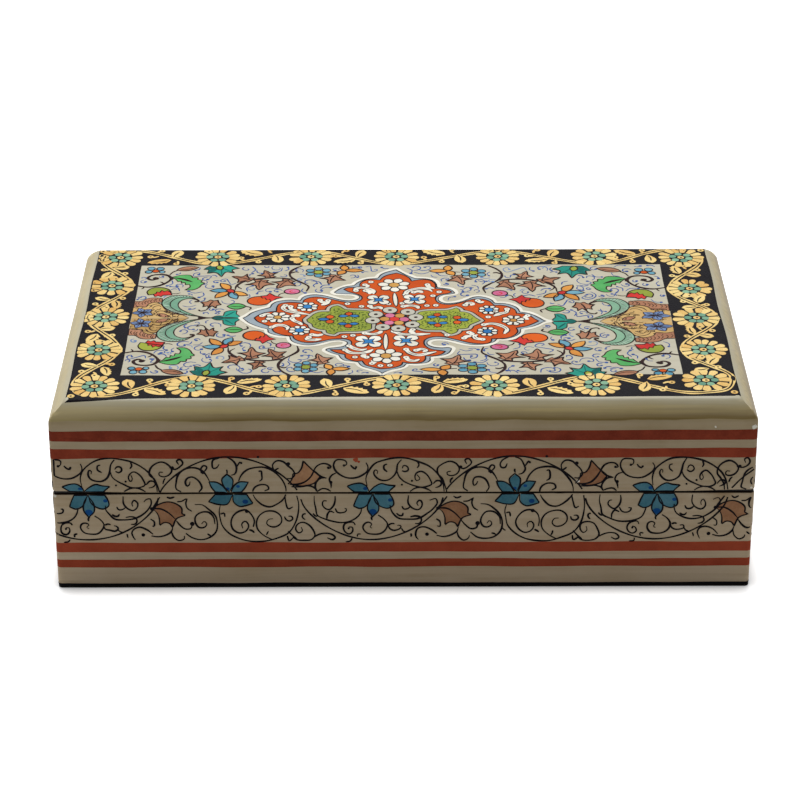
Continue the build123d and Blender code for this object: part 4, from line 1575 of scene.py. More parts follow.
# %% Draw the half wave that hangs
# Points are millimetres along from the lotus, and millimetres up from the table.
HANGING_WAVE = {  # the half wave that hangs: its lotus opens downwards
    "petals": [
        [-0.7+27.9j, -1.3+29.5j, -2.6+30.4j, -4.3+30.3j, -6.2+29.6j, -6.2+29.6j, -5.2+28.6j,
         -4.4+27.9j, -4.4+27.9j, -0.7+27.9j],
        [-0.7+27.9j, 0.8+29.5j, 2.4+30.3j, 3.9+29.9j, 5.9+29.7j, 5.9+29.7j, 4.8+28.6j, 4.2+27.9j,
         4.2+27.9j, -0.7+27.9j],
        [0+27.3j, -3.3+27.3j, -3.3+27.3j, -4.1+25.4j, -4.6+23.9j, -4.6+23.9j, -3.2+23.2j,
         -1.8+23.6j, -0.6+25.2j, 0+27.3j],
        [0.2+27.3j, -1+24.6j, -1.1+22.8j, 0.1+20.8j, 0.1+20.8j, 1.6+22.5j, 1.7+23.9j, 0.2+27.3j],
        [0.3+27.3j, 1+24.8j, 2.4+23.6j, 3.9+23.2j, 5.4+24.2j, 5.3+25.6j, 4.5+27.3j, 4.5+27.3j,
         0.3+27.3j],
    ],
    "deep": [(0.2+22.2j, 1.0), (-1.6+28.9j, 0.6), (4.6+25.6j, 0.6)],
    "leaf": [-20.9+30.2j, -19.9+31.6j, -19.6+33.2j, -19.6+33.2j, -18.6+33.3j, -17.6+34.5j,
             -17+36.8j, -17+36.8j, -14.5+34j, -12.8+32.4j, -12.8+32.4j, -14.2+30.6j, -16.8+29.7j,
             -20.9+30.2j],
    "strokes": [
        [18+28j, 17.6+30.7j, 16.3+33.3j, 14.2+35.2j, 11.6+36.6j, 8.9+37.4j, 6.3+37.6j, 3.2+37.1j,
         0.8+35.9j, -0.8+34.1j, -1.4+32j, -1.2+29.6j],
        [7.4+37.3j, 6.4+35.9j, 6.1+33.8j, 5.4+32.3j, 3.9+31.2j, 2.4+31.2j, 1.1+32j, 0.5+33.3j,
         0.9+34.2j, 1.4+34j, 1.2+33.2j],
        [6.2+33.9j, 6.8+32.3j, 7.9+31.1j, 9.5+30.2j, 11.1+29.5j, 12.4+29.2j, 13.9+29.5j, 14.9+30.1j,
         14.5+31.5j, 13.4+33.1j, 12.2+33.8j, 11.1+33.2j, 10.7+32j, 11.2+31.1j, 11.8+31.7j,
         11.3+32.9j],
        [3.8+35.8j, 3.1+35.6j, 3+34.6j, 3.9+33.6j],
        [7.5+34j, 8.3+33.7j, 9.1+34.2j, 8.9+35.2j, 8+35.3j, 7.5+34.5j],
        [11.3+36.6j, 11.7+35.6j, 11.2+34.8j],
        [15.2+30.2j, 16.3+31.1j, 17.2+31j, 17.4+30.2j, 16.6+29.4j, 15.8+29.2j],
        [9.5+28j, 10.5+28.8j, 12.1+29.3j, 13.7+28.8j, 14.9+28j],
        [9.1+26.9j, 9.2+24.6j, 10.3+23.2j, 11.6+22.8j, 12.5+23.6j, 12.6+24.9j, 12+25.6j, 11.3+24.7j,
         11.6+23.9j],
        [4.6+24.2j, 4.6+23.3j, 5.3+21.7j, 6.8+20.4j, 8.9+20j, 11.6+20.3j, 13.7+21.5j, 15.5+23.3j,
         16.3+24.9j, 16+26.1j, 15+25.9j, 14.5+25.4j],
        [7.4+23.8j, 7.9+23j, 8.9+23j, 9.7+23.7j],
        [6.1+21.6j, 6.9+21.1j, 7.6+21.2j, 7.8+21.9j],
        [9.5+20.7j, 10.8+20.9j, 12.2+20.4j, 12.4+19.5j, 11.8+18.8j, 10.8+18.7j],
        [-2.6+23.3j, -2.8+22j, -3.7+20.7j, -5.3+19.6j, -7.4+19.2j, -10+19.4j, -12.1+20.2j,
         -13.7+21.2j, -14.2+23.3j, -14.6+25.2j, -14.4+26.9j],
        [-20+29.5j, -17.9+29.5j, -15.5+29.7j, -14.3+29.1j, -13.8+28.1j],
        [-13.8+28.1j, -14.2+29.3j, -13.8+30.7j, -12.6+31.9j, -11.2+31.9j],
        [-13.7+28.1j, -12.4+28.8j, -11.3+28.7j, -10.3+28j],
        [-9.2+26.9j, -9.1+25.4j, -9.7+23.8j, -10.8+22.9j, -11.8+23.3j, -12.4+24.4j, -12+25.3j,
         -11.4+25.3j],
        [-9.3+23.2j, -8.7+22.1j, -7.4+21.9j, -6.6+22.3j, -6.4+23.2j, -7+23.2j],
        [-11.3+20.2j, -11.2+21.5j, -10.5+22.4j, -9.5+22j],
        [0.4+21j, -0.1+20.4j, 0.1+19.7j],
        [1.6+21.2j, 2.9+20.2j, 3.8+18.6j, 3.4+17j, 2.1+15.9j, 0.3+15.7j, -1.3+16.2j, -2.2+17.8j,
         -1.8+18.8j, -0.8+19.1j, -0.1+18.6j, -0.5+17.8j, 0+17.5j],
        [3.9+18.3j, 4.2+17.5j, 5.3+16.9j, 6.6+16.9j, 7.4+17.5j, 7.1+18.2j, 6.4+18.2j],
        [4.1+18.4j, 4.9+18.8j, 5.7+18.6j],
        [7.4+17.3j, 7.9+16.6j, 8.6+16.3j],
        [-4.2+18.4j, -4.5+19.1j, -5.7+19.2j, -6.8+18.6j, -7.2+17.3j, -6.7+16.2j, -5.7+15.8j,
         -4.9+16.5j, -5.1+17.7j, -5.9+17.8j],
        [-3.7+14.9j, -3.7+15.7j, -2.9+15.8j],
        [-5+14.5j, -5.4+13.8j, -6.7+13.5j],
        [-14.6+14.9j, -13.2+15.7j, -11.6+15.9j, -10+15.6j, -9.3+14.6j, -10+14.1j, -11.3+14.7j],
        [-19.9+14.9j, -18.9+14.1j, -17.1+13.8j, -15.3+14.2j, -14.5+15.2j, -15+17.3j, -16+18.7j,
         -17.6+19.2j, -18.9+18.6j, -19.2+17j, -18.4+16.1j, -17.5+16.7j, -17.9+17.8j],
        [-16.6+21.6j, -17.2+21.6j, -17.4+20.7j, -16.7+19.9j],
        [-1.3+36.2j, -0.9+35.2j, -1.2+33.8j, -2.1+32.8j, -3.7+32j, -5.8+31.9j, -7.9+32.7j,
         -9.2+34.1j, -9.6+35.7j, -8.9+37.1j, -7.6+37.3j, -6.4+36.8j, -6.3+35.9j, -6.8+35.4j],
        [-5.3+35.7j, -4.9+34.9j, -4.1+34.6j, -3.7+35.3j],
        [-8.9+33.3j, -10+32.8j, -10.7+31.5j, -10.2+30.2j, -10.1+28.8j],
        [-14.5+33.8j, -13.7+35.4j, -12.1+36.1j, -10.8+35.8j, -10.1+34.9j, -10.9+34.6j],
        [-14.5+34j, -12.8+32.5j, -11.3+31.9j],
        [-14.3+34.4j, -15.3+32.5j, -16.8+30.7j, -18.4+30.1j, -20.4+30.2j],
        [16.2+15.7j, 14.7+17j, 12.9+17.8j, 11.6+17.3j, 10.9+16.2j, 11.2+14.9j, 11.6+14.1j],
        [9.7+15.9j, 9.8+15.3j, 9.9+14.8j],
        [-14.7+21.7j, -14.1+21.1j, -13.7+20.9j],
        [-14.1+17.8j, -13.8+18.1j, -13.6+18.4j],
        [13.4+21.6j, 13.6+21.2j, 13.8+20.9j],
        [1.2+15.4j, 1.4+15.1j, 1.3+14.8j],
    ],
    "dots": [(-10.2+30.7j, 0.42), (10+31.1j, 0.3), (7.5+30j, 0.28), (13.8+15.6j, 0.5),
             (-5.9+17.4j, 0.3), (-10.8+34.9j, 0.35), (-6.9+35.5j, 0.35), (-3.9+35j, 0.3)],
}
print("hanging half wave", len(HANGING_WAVE["strokes"]), "strokes")

# %% Draw the half wave that rises
RISING_WAVE = {  # the half wave that rises: its lotus opens upwards
    "petals": [
        [-0.5+27.9j, -1.8+29.9j, -3.2+30.8j, -5+30.9j, -5+30.9j, -4.5+29.4j, -3.5+27.9j, -3.5+27.9j,
         -0.5+27.9j],
        [0.4+27.9j, 1.3+29.9j, 2.4+30.8j, 4.8+30.8j, 4.8+30.8j, 3.9+29.1j, 3+27.9j, 3+27.9j,
         0.4+27.9j],
        [0+27.9j, -1.5+30j, -1.8+31.6j, -0.5+33.1j, -0.5+33.1j, 0.9+31.7j, 0.9+30.1j, 0+27.9j],
        [0.8+27.3j, -3.6+27.3j, -3.6+27.3j, -5.3+25.2j, -5.3+25.2j, -2.9+24.4j, -0.8+24.4j,
         0.8+27.3j],
        [0.8+27.3j, 1.1+24.9j, 2.6+23.8j, 4.2+24.1j, 5.8+24.7j, 5.8+24.7j, 4.3+27.3j, 4.3+27.3j,
         0.8+27.3j],
    ],
    "deep": [(3.9+25.2j, 0.75), (-0.4+28.9j, 0.5), (2.2+29.6j, 0.5)],
    "leaf": [-19.6+23.2j, -17.6+24.6j, -15.5+25.2j, -13.4+24.6j, -12.1+23.3j, -12.1+21.8j,
             -12.1+21.8j, -11.2+21.3j, -11.2+21.3j, -13.4+20.4j, -14.6+17.8j, -14.6+17.8j,
             -15.3+18.9j, -16.6+19.2j, -17.8+18.4j, -17.8+18.4j, -17.9+20.7j, -18.7+22.5j,
             -19.6+23.2j],
    "strokes": [
        [16.8+26.9j, 17.2+24.6j, 17.1+22j, 16.3+19.1j, 14.5+16.2j, 11.6+14.6j, 8.9+13.8j, 5.3+13.6j,
         2.1+14.6j, -0.5+16.2j, -2.1+18.3j, -2.6+20.7j, -2.7+22.5j, -2.4+24.1j],
        [2.4+30.9j, 3.2+32.8j, 4.7+34.4j, 6.8+35j, 8.9+34.9j, 10.8+34.1j, 12.4+32.5j, 13.7+30.4j,
         14.2+28.6j, 14.1+27.3j, 13.4+25.9j, 11.8+24.4j, 10.3+23.7j, 8.4+24.1j, 7.1+25.2j,
         6.1+26.7j, 5.7+28j, 6.3+29.4j, 7.9+30.2j, 9.5+29.9j, 9.9+28.9j, 8.9+28.2j],
        [7.4+33.8j, 7.9+34.1j, 8.4+32.8j, 8.2+31.5j, 7.5+31.1j],
        [10.7+31.5j, 11+31.7j, 11.4+31.7j],
        [-12.1+28.1j, -13.2+28.9j, -13.1+30.9j, -12.4+33.3j, -11+34.6j, -9.5+35j, -7.9+34.8j,
         -6.3+33.7j, -5.3+32.3j, -4.8+31j],
        [-7.4+28j, -6.8+29.1j, -7.1+30.2j, -7.9+31.5j, -9.2+32.3j, -10.4+32j, -10.9+30.9j,
         -10.5+29.8j, -9.9+30.2j, -9.7+31j],
        [-6.9+33.4j, -6.9+34.6j, -6.1+35.6j, -5.5+35.2j, -6+34.1j, -6.8+33.6j],
        [-2.1+37.8j, -3.7+37j, -4.2+35.7j, -3.8+34.8j, -3+34.9j, -2.4+35.9j],
        [-0.5+37.9j, 0.8+37.3j, 1.8+35.9j, 2+34.4j, 1.4+33.1j, 0.5+32.9j],
        [2.1+35.3j, 3+36.5j, 3.4+36.1j],
        [-0.5+34.4j, -0.4+33.8j, -0.4+33.2j],
        [-17.5+28j, -17.9+29.9j, -18.7+31.7j, -19.7+33j, -19.6+34.6j, -18.4+35.9j, -16.6+36.6j,
         -15+35.7j, -14.3+34.4j, -15+32.9j, -16.3+32.4j, -17.4+32.8j, -17.4+33.6j, -16.4+33.8j],
        [-14.7+35.2j, -13.4+34.6j, -12.1+35.2j, -11.4+36.3j, -12.1+37.3j, -12.9+37j, -12.5+35.9j],
        [-16.6+30.4j, -16.3+31.5j, -15.8+32j],
        [11.2+34.1j, 11+35.7j, 12.1+36.9j, 13.7+36.6j, 15+35.4j, 16.1+34.1j, 16.4+32.8j, 15.5+31.8j,
         14.5+31.7j],
        [11.3+34j, 11.9+34.5j, 12.4+34.9j],
        [13.9+26.7j, 14.2+24.9j, 14.9+23.2j, 15.9+23.7j],
        [10.3+14.3j, 8.2+15.4j, 6.7+17.3j, 6.4+19.4j, 7.4+21.3j, 9.2+22.4j, 11.3+22.3j, 12.8+20.9j,
         12.8+19.1j, 11.3+17.9j, 9.7+17.9j, 9.1+18.8j, 9.7+20j, 10.7+20.2j],
        [5.7+17.9j, 6+19.6j, 5.3+21.7j, 3.9+22.7j, 2.4+22.5j, 0.8+21.2j, 0.1+19.1j, 0.8+17j,
         2.4+16.1j, 3.9+16.7j, 4.5+18.3j, 3.8+19.5j, 2.9+18.8j, 3+17.5j],
        [-2.5+21.7j, -1.6+21.9j, -1.3+20.7j],
        [-11.4+16.1j, -9.7+14.8j, -7.4+14.2j, -5.3+14.9j, -3.7+16.5j, -3.3+18.6j, -3.9+21.2j,
         -5.3+23.1j, -7.1+24.2j, -8.9+24.4j],
        [-3.9+18.6j, -4.2+20.7j, -5.5+22.1j, -7.4+22.1j, -8.7+20.9j, -8.9+19.1j, -7.9+17.7j,
         -6.6+17.8j, -5.9+18.8j, -6.6+19.6j, -7.2+18.8j],
        [-13.7+19.6j, -12.6+18.3j, -11.3+17.3j, -10+17.5j, -9.5+19.1j],
        [-13.2+25.2j, -12.1+25.3j, -10.7+26.2j],
        [-10.7+26.2j, -11.2+24.9j, -10.8+23.3j, -9.5+22.5j],
        [-15.7+26.6j, -15+26.2j, -13.9+26.6j],
        [-3.2+17.3j, -2.8+17j, -2.4+16.7j],
        [4.7+17j, 5.3+16.7j, 5.9+16.2j],
        [-6+15.9j, -5.5+15.6j, -5+15.4j],
        [8.9+15.4j, 9.2+16j, 9.5+16.6j],
        [13.7+20.8j, 14.1+19.8j, 15+19.6j, 15.8+20.3j, 15.4+21j, 14.6+20.9j],
        [-17.4+26.7j, -18.4+24.9j, -19.6+23.3j],
        [-19.6+23.2j, -17.4+23.1j, -15.5+22j, -13.9+20.2j],
        [-20+15.3j, -18.4+14.9j, -16.3+15.4j, -14.9+16.6j, -14.5+17.8j],
        [-20+20.2j, -19.1+19.4j, -19.3+17.9j, -19.8+18.1j],
        [-14.9+16.5j, -14.3+14.9j, -13+13.9j, -11.8+14.6j, -11.7+15.3j],
        [14.5+16.7j, 15.5+15.4j, 16.8+14.1j],
        [14.3+15.4j, 14.7+13.9j, 15.7+14.7j],
    ],
    "dots": [(-14+35j, 0.45), (7.4+38j, 0.35), (14.9+36j, 0.5), (-9.6+18.8j, 0.6), (4.2+22.4j, 0.5),
             (-19.6+23.2j, 0.5), (-6.5+33.5j, 0.35), (3.2+36.3j, 0.3)],
}
print("rising half wave", len(RISING_WAVE["strokes"]), "strokes")

# %% Carry a half wave to its wall
SHAKE = 0.07  # how far the brush strays
print("one half wave", HALF_WAVE, "mm long")


def half_wave(sheet, centre, motif, reach):
    """One lotus with the curls and the leaf that belong to it."""
    stretch = hand.uniform(0.985, 1.015)

    def put(points):
        points = np.array(points, complex)
        return centre + points.real * stretch + 1j * points.imag

    def ink(points, width, level=4):
        line = smooth_line(points, 0.4)
        line = line[np.abs(line.real) < reach]
        if len(line) > 3:
            wall_line("lamp_black", sheet, line, width, level)

    for outline in motif["petals"]:
        loop = smooth_line(put(outline))
        if (np.abs(loop.real) < reach).all():
            wall_fill("lotus_blue", sheet, loop + complex(*hand.normal(0, 0.12, 2)), 2)
            ink(np.append(loop, loop[:1]), 0.38)
    for at, size in motif["deep"]:
        if abs(put([at])[0].real) < reach - 1:
            wall_fill("prussian_blue", sheet, dot(put([at])[0], size, 0.85), 3)
    leaf = smooth_line(put(motif["leaf"]))
    leaf = np.clip(leaf.real, -reach, reach) + 1j * leaf.imag
    if np.ptp(leaf.real) > 4:
        wall_fill("rose_brown", sheet, leaf + complex(*hand.normal(0, 0.15, 2)), 1)
        ink(np.append(leaf, leaf[:1]), 0.4)
    for points in motif["strokes"]:
        shaken = np.array(points) + hand.normal(0, SHAKE, len(points))
        shaken = shaken + 1j * hand.normal(0, SHAKE, len(points))
        ink(put(shaken), hand.uniform(0.4, 0.5))
    for at, size in motif["dots"]:
        if abs(put([at])[0].real) < reach - 1:
            wall_fill("lamp_black", sheet, dot(put([at])[0], size), 5)


# %% Paint the four walls
WALL_PLAN = {  # centres of the lotuses, and whether the first half wave hangs
    "front": ((-80, -44, -8, 28.5, 64, 98.6), True),
    "back": ((-74, -38, -2, 34, 70), False),
    "left": ((-38, -2, 34, 70), True),
    "right": ((-66, -30, 6, 42), False),
}
for sheet, (centres, hangs) in WALL_PLAN.items():
    along = half_length if sheet in ("front", "back") else half_width
    flat = along - SKIN_INSET - CORNER_RADIUS
    reach = flat + CORNER_RADIUS * pi / 4
    for low, high, pigment, tone in STRIPES:
        stripe(pigment, sheet, low, high, flat, tone)
    stripe("lamp_black", sheet, *BLACK_FOOT, flat, 0)
    s = np.arange(-reach, reach, SPACING)
    lift = np.cos(pi * (s - centres[0]) / HALF_WAVE) * (-1 if hangs else 1)
    lift = np.sign(lift) * np.abs(lift) ** VINE_ROUNDNESS
    wave = VINE_MIDDLE + VINE_RISE * lift + 0.2 * swell(s, s * 0, 2)
    wall_line("lamp_black", sheet, s + 1j * wave, VINE_WIDTH, 2, thin=(1, 1))
    for k, centre in enumerate(centres):
        motif = HANGING_WAVE if (k % 2 == 0) == hangs else RISING_WAVE
        half_wave(sheet, centre, motif, reach - 0.3)
print("walls", marks_made, "marks so far")

# %% Chip the front a little, and paint two glints
CHIPS_AND_GLINTS = [  # place, size and pigment
    # The first two white marks, high on the right of the front at the bevel's foot, are painted
    # highlights; the rest are chips.
    (87.7+46j, 0.75, "white"),
    (78+46.2j, 0.3, "white"),
    (-88.2+27j, 0.5, "white"),
    (87.8+28.6j, 0.4, "white"),
    (-12+37j, 0.7, "brick_red"),
    (-11.2+36.6j, 0.4, "brick_red"),
    (44+30.9j, 0.5, "white"),
]
BLOT = [-85+43.3j, -83+43.2j, -81+42.8j, -78.8+42.9j]  # under the top stripe
for at, size, pigment in CHIPS_AND_GLINTS:
    chip = dot(0, size)
    chip = chip * hand.uniform(0.6, 1.15, len(chip))
    wall_fill(pigment, "front", at + chip, 3)
brush("lid_wall_dark_brick_red", smooth_line(BLOT), 0.6, 3, "front", thin=(0.5, 0.3), tone=1.0)
print("chips", len(CHIPS_AND_GLINTS), "and", marks_made, "marks in all")

# %% [markdown]
# ## The ground coat and the boards
#
# Chalk and glue are brushed over the pasted paper, rubbed down, tinted stone grey and sealed with
# a pale copal varnish. On the walls the ground is a browner, darker copy as painted shade, paler
# towards the foot as painted floor light. The varnish is olive on the bevel, with a dark line
# painted as shade low on it where the bevel turns down to the wall, and a painted highlight pales
# the bevel's left end. Handling has browned the edge at the seam, and the level faces in the
# seam's gap are painted near black as shade. The boards and lip inside are lacquered black.

# %% Mottle the ground
GROUND = ("#BFBAA6", "#B4AD95", "#C9C4B1")  # each ground: its body, and deeper and paler places
# The walls' grounds are a browner, darker copy of the top's ground: painted shade. The foot's is
# paler, as painted floor light, and the head's is darkest.
WALL_GROUND_PAINTED_FLOOR_LIGHT = ("#CFBB9E", "#C2AC8A", "#E0CFB5")
WALL_GROUND_PAINTED_SHADE = ("#B4A285", "#A49172", "#BFB096")
MOTTLE_SIZE = 17.0
STREAK_WIDTH = 0.9
STREAK_LENGTH = 30.0
RGBA = {"data_type": "RGBA"}
FACTOR, FIRST, SECOND = 0, 6, 7  # the inputs of a node that mixes two colours

ground, tree = new_material("chalk_ground_under_copal_varnish")
for skin in (lid_skin, base_skin):
    skin.data.materials.append(ground)
position = add(tree, "ShaderNodeTexCoord").outputs["Object"]
along_box, _, height = add(tree, "ShaderNodeSeparateXYZ", links={0: position}).outputs

settings = {"Scale": 1 / (MOTTLE_SIZE * MM), "Detail": 5.0, "Roughness": 0.6}
mottle = add(tree, "ShaderNodeTexNoise", settings, {"Vector": position})
span = {"From Min": 0.35, "From Max": 0.7}
patch = add(tree, "ShaderNodeMapRange", span, {"Value": mottle})

settings = {"Scale": (STREAK_WIDTH / STREAK_LENGTH, 0.7, 1.0)}
drawn_out = add(tree, "ShaderNodeMapping", settings, {"Vector": position})
settings = {"Scale": 1 / (STREAK_WIDTH * MM), "Detail": 3.0}
streak = add(tree, "ShaderNodeTexNoise", settings, {"Vector": drawn_out})
span = {"From Min": 0.3, "From Max": 0.75, "To Max": 0.55}
soft = add(tree, "ShaderNodeMapRange", span, {"Value": streak})

shades = []
for codes in (WALL_GROUND_PAINTED_FLOOR_LIGHT, WALL_GROUND_PAINTED_SHADE, GROUND):
    body, deep, pale = (linear(code) for code in codes)
    settings = RGBA | {FIRST: body, SECOND: deep}
    mottled = add(tree, "ShaderNodeMix", settings, {FACTOR: patch})
    links = {FACTOR: soft, FIRST: mottled}
    shades.append(add(tree, "ShaderNodeMix", RGBA | {SECOND: pale}, links))
print("grounds", len(shades))

# %% Fade from ground to ground
ZONES = {  # each fades in from one height to another, up to a strength
    "painted light up the wall": (13.0, 41.0, 1.0),
    "on top": (48.2, 51.2, 1.0),
    "varnish and shade on the bevel": (47.6, 51.8, 1.0),
    "on the bevel": (44.5, 47.5, 1.0),
    "below the top": (51.95, 51.5, 1.0),
    "handled": (21.5, 27.4, 0.8),
}
# The band of olive varnish and painted shade on the bevel: its size, and how far its edge strays up
# and down.
BEVEL_BAND_SIZE = 11.0
BEVEL_BAND_WANDER = 0.55  # the pool's edge strays up and down by this much

# the olive varnish and the painted shade lie where the height, shifted a little, is near the
# bevel's foot
settings = {"Scale": 1 / (BEVEL_BAND_SIZE * MM), "Detail": 2.0}
wander = add(tree, "ShaderNodeTexNoise", settings, {"Vector": position})
settings = {"operation": "MULTIPLY_ADD", 1: BEVEL_BAND_WANDER * MM * 2}
shifted = add(tree, "ShaderNodeMath", settings, {0: wander, 2: height})
zones = {}
for name, (low, high, strength) in ZONES.items():
    span = {"From Min": low * MM, "From Max": high * MM, "To Max": strength}
    source = shifted if name == "varnish and shade on the bevel" else height
    zones[name] = add(tree, "ShaderNodeMapRange", span, {"Value": source})
# Painted light: the walls' ground pales from the head down to the foot, and the top keeps its own
# ground.
links = {FACTOR: zones["painted light up the wall"], FIRST: shades[0], SECOND: shades[1]}
wall_ground_with_painted_light = add(tree, "ShaderNodeMix", RGBA, links)
links = {FACTOR: zones["on top"], FIRST: wall_ground_with_painted_light, SECOND: shades[2]}
colour = add(tree, "ShaderNodeMix", RGBA, links)
print("zones", len(zones))

# %% Colour the bevel with olive varnish, painted shade and a painted highlight
VARNISH_OLIVE = "#BBA668"
BEVEL_FOOT_PAINTED_SHADE = "#8E7B50"
VARNISH_DEEP = "#74602F"
BEVEL_PAINTED_HIGHLIGHT = "#DCCD98"
# The dark stops low on the bevel are painted shade, where the bevel turns down to the wall; the
# olive is the varnish.
VARNISH_STOPS = [  # from below the bevel to the top: place, colour and strength
    (0.00, VARNISH_OLIVE, 0.12),
    (0.20, VARNISH_OLIVE, 0.16),
    (0.26, BEVEL_FOOT_PAINTED_SHADE, 1.00),
    (0.34, BEVEL_FOOT_PAINTED_SHADE, 0.95),
    (0.46, BEVEL_FOOT_PAINTED_SHADE, 0.76),
    (0.72, VARNISH_OLIVE, 0.66),
    (0.90, VARNISH_OLIVE, 0.50),
    (1.00, VARNISH_OLIVE, 0.32),
]
# Painted highlight: along the box, the bevel pales towards its left end, where the light falls on
# it.
PAINTED_HIGHLIGHT_SPAN = (-89.0, -42.0)  # along the box: the bevel's left end is rubbed pale
PAINTED_HIGHLIGHT_SHARE = 0.5

ramp = add(tree, "ShaderNodeValToRGB", links={0: zones["varnish and shade on the bevel"]})
for k, (spot, code, strength) in enumerate(VARNISH_STOPS):
    stop = ramp.color_ramp.elements[k] if k < 2 else ramp.color_ramp.elements.new(spot)
    stop.position = spot
    stop.color = (*linear(code)[:3], strength)
span = {"From Min": 0.42, "From Max": 0.68, "To Max": 0.55}
run = add(tree, "ShaderNodeMapRange", span, {"Value": streak})
links = {FACTOR: run, FIRST: ramp.outputs["Color"]}
varnish = add(tree, "ShaderNodeMix", RGBA | {SECOND: linear(VARNISH_DEEP)}, links)

highlight_start, highlight_end = (at * MM for at in PAINTED_HIGHLIGHT_SPAN)
span = {"From Min": highlight_start, "From Max": highlight_end, "To Min": PAINTED_HIGHLIGHT_SHARE, "To Max": 0.0}
painted_highlight = add(tree, "ShaderNodeMapRange", span, {"Value": along_box})
# From here the bevel's colour also holds the painted highlight at its left end.
links = {FACTOR: painted_highlight, FIRST: varnish}
varnish = add(tree, "ShaderNodeMix", RGBA | {SECOND: linear(BEVEL_PAINTED_HIGHLIGHT)}, links)

# Where the olive varnish and the painted shade lie on the bevel.
bevel_varnish_and_painted_shade = ramp.outputs["Alpha"]
for name in ("below the top", "on the bevel"):
    links = {0: bevel_varnish_and_painted_shade, 1: zones[name]}
    bevel_varnish_and_painted_shade = add(tree, "ShaderNodeMath", {"operation": "MULTIPLY"}, links)
links = {FACTOR: bevel_varnish_and_painted_shade, FIRST: colour, SECOND: varnish}
colour = add(tree, "ShaderNodeMix", RGBA, links)
print("varnish stops", len(ramp.color_ramp.elements))

# %% Stain the edge that hands reach, and paint shade into the seam's gap
HANDLING_BROWN = "#9A7A52"
STAIN_SIZE = 14.0
SEAM_GAP_PAINTED_SHADE = "#2A2018"
# Painted shade: level faces this near the seam, in the gap between lid and base, are painted near
# black.
SEAM_SHADE_REACH = 1.2  # grime gathers this near the seam, on faces that lie level

# hands have browned the base just below the seam
settings = {"Scale": 1 / (STAIN_SIZE * MM), "Detail": 3.0}
patches = add(tree, "ShaderNodeTexNoise", settings, {"Vector": position})
span = {"From Min": 0.52, "From Max": 0.7}
stained = add(tree, "ShaderNodeMapRange", span, {"Value": patches})
settings = {"operation": "LESS_THAN", 1: seam_height * MM}
on_base = add(tree, "ShaderNodeMath", settings, {0: height})
for limit in (zones["handled"], on_base):
    links = {0: stained, 1: limit}
    stained = add(tree, "ShaderNodeMath", {"operation": "MULTIPLY"}, links)
links = {FACTOR: stained, FIRST: colour}
colour = add(tree, "ShaderNodeMix", RGBA | {SECOND: linear(HANDLING_BROWN)}, links)

# Painted shade in the seam's gap: level faces near the seam turn near black.
settings = {"operation": "SUBTRACT", 1: seam_height * MM}
off_seam = add(tree, "ShaderNodeMath", settings, {0: height})
off_seam = add(tree, "ShaderNodeMath", {"operation": "ABSOLUTE"}, {0: off_seam})
settings = {"operation": "LESS_THAN", 1: SEAM_SHADE_REACH * MM}
by_seam = add(tree, "ShaderNodeMath", settings, {0: off_seam})
normal = add(tree, "ShaderNodeNewGeometry").outputs["Normal"]
upwards = add(tree, "ShaderNodeSeparateXYZ", links={0: normal}).outputs["Z"]
flatness = add(tree, "ShaderNodeMath", {"operation": "ABSOLUTE"}, {0: upwards})
span = {"From Min": 0.6, "From Max": 0.85}
flatness = add(tree, "ShaderNodeMapRange", span, {"Value": flatness})
seam_shade = add(tree, "ShaderNodeMath", {"operation": "MULTIPLY"}, {0: by_seam, 1: flatness})
links = {FACTOR: seam_shade, FIRST: colour}
colour = add(tree, "ShaderNodeMix", RGBA | {SECOND: linear(SEAM_GAP_PAINTED_SHADE)}, links)
print("stains", HANDLING_BROWN, SEAM_GAP_PAINTED_SHADE)

# %% Give the ground its gloss
STREAK_RELIEF = 0.05

span = {"To Min": 0.26, "To Max": 0.42}
dull = add(tree, "ShaderNodeMapRange", span, {"Value": mottle})
settings = {"Strength": 0.25, "Distance": STREAK_RELIEF * MM}
relief = add(tree, "ShaderNodeBump", settings, {"Height": streak})
links = {"Base Color": colour, "Roughness": dull, "Normal": relief}
shader = add(tree, "ShaderNodeBsdfPrincipled", {"Specular IOR Level": 0.035}, links)
add(tree, "ShaderNodeOutputMaterial", links={"Surface": shader})
print("ground", len(tree.nodes), "nodes")

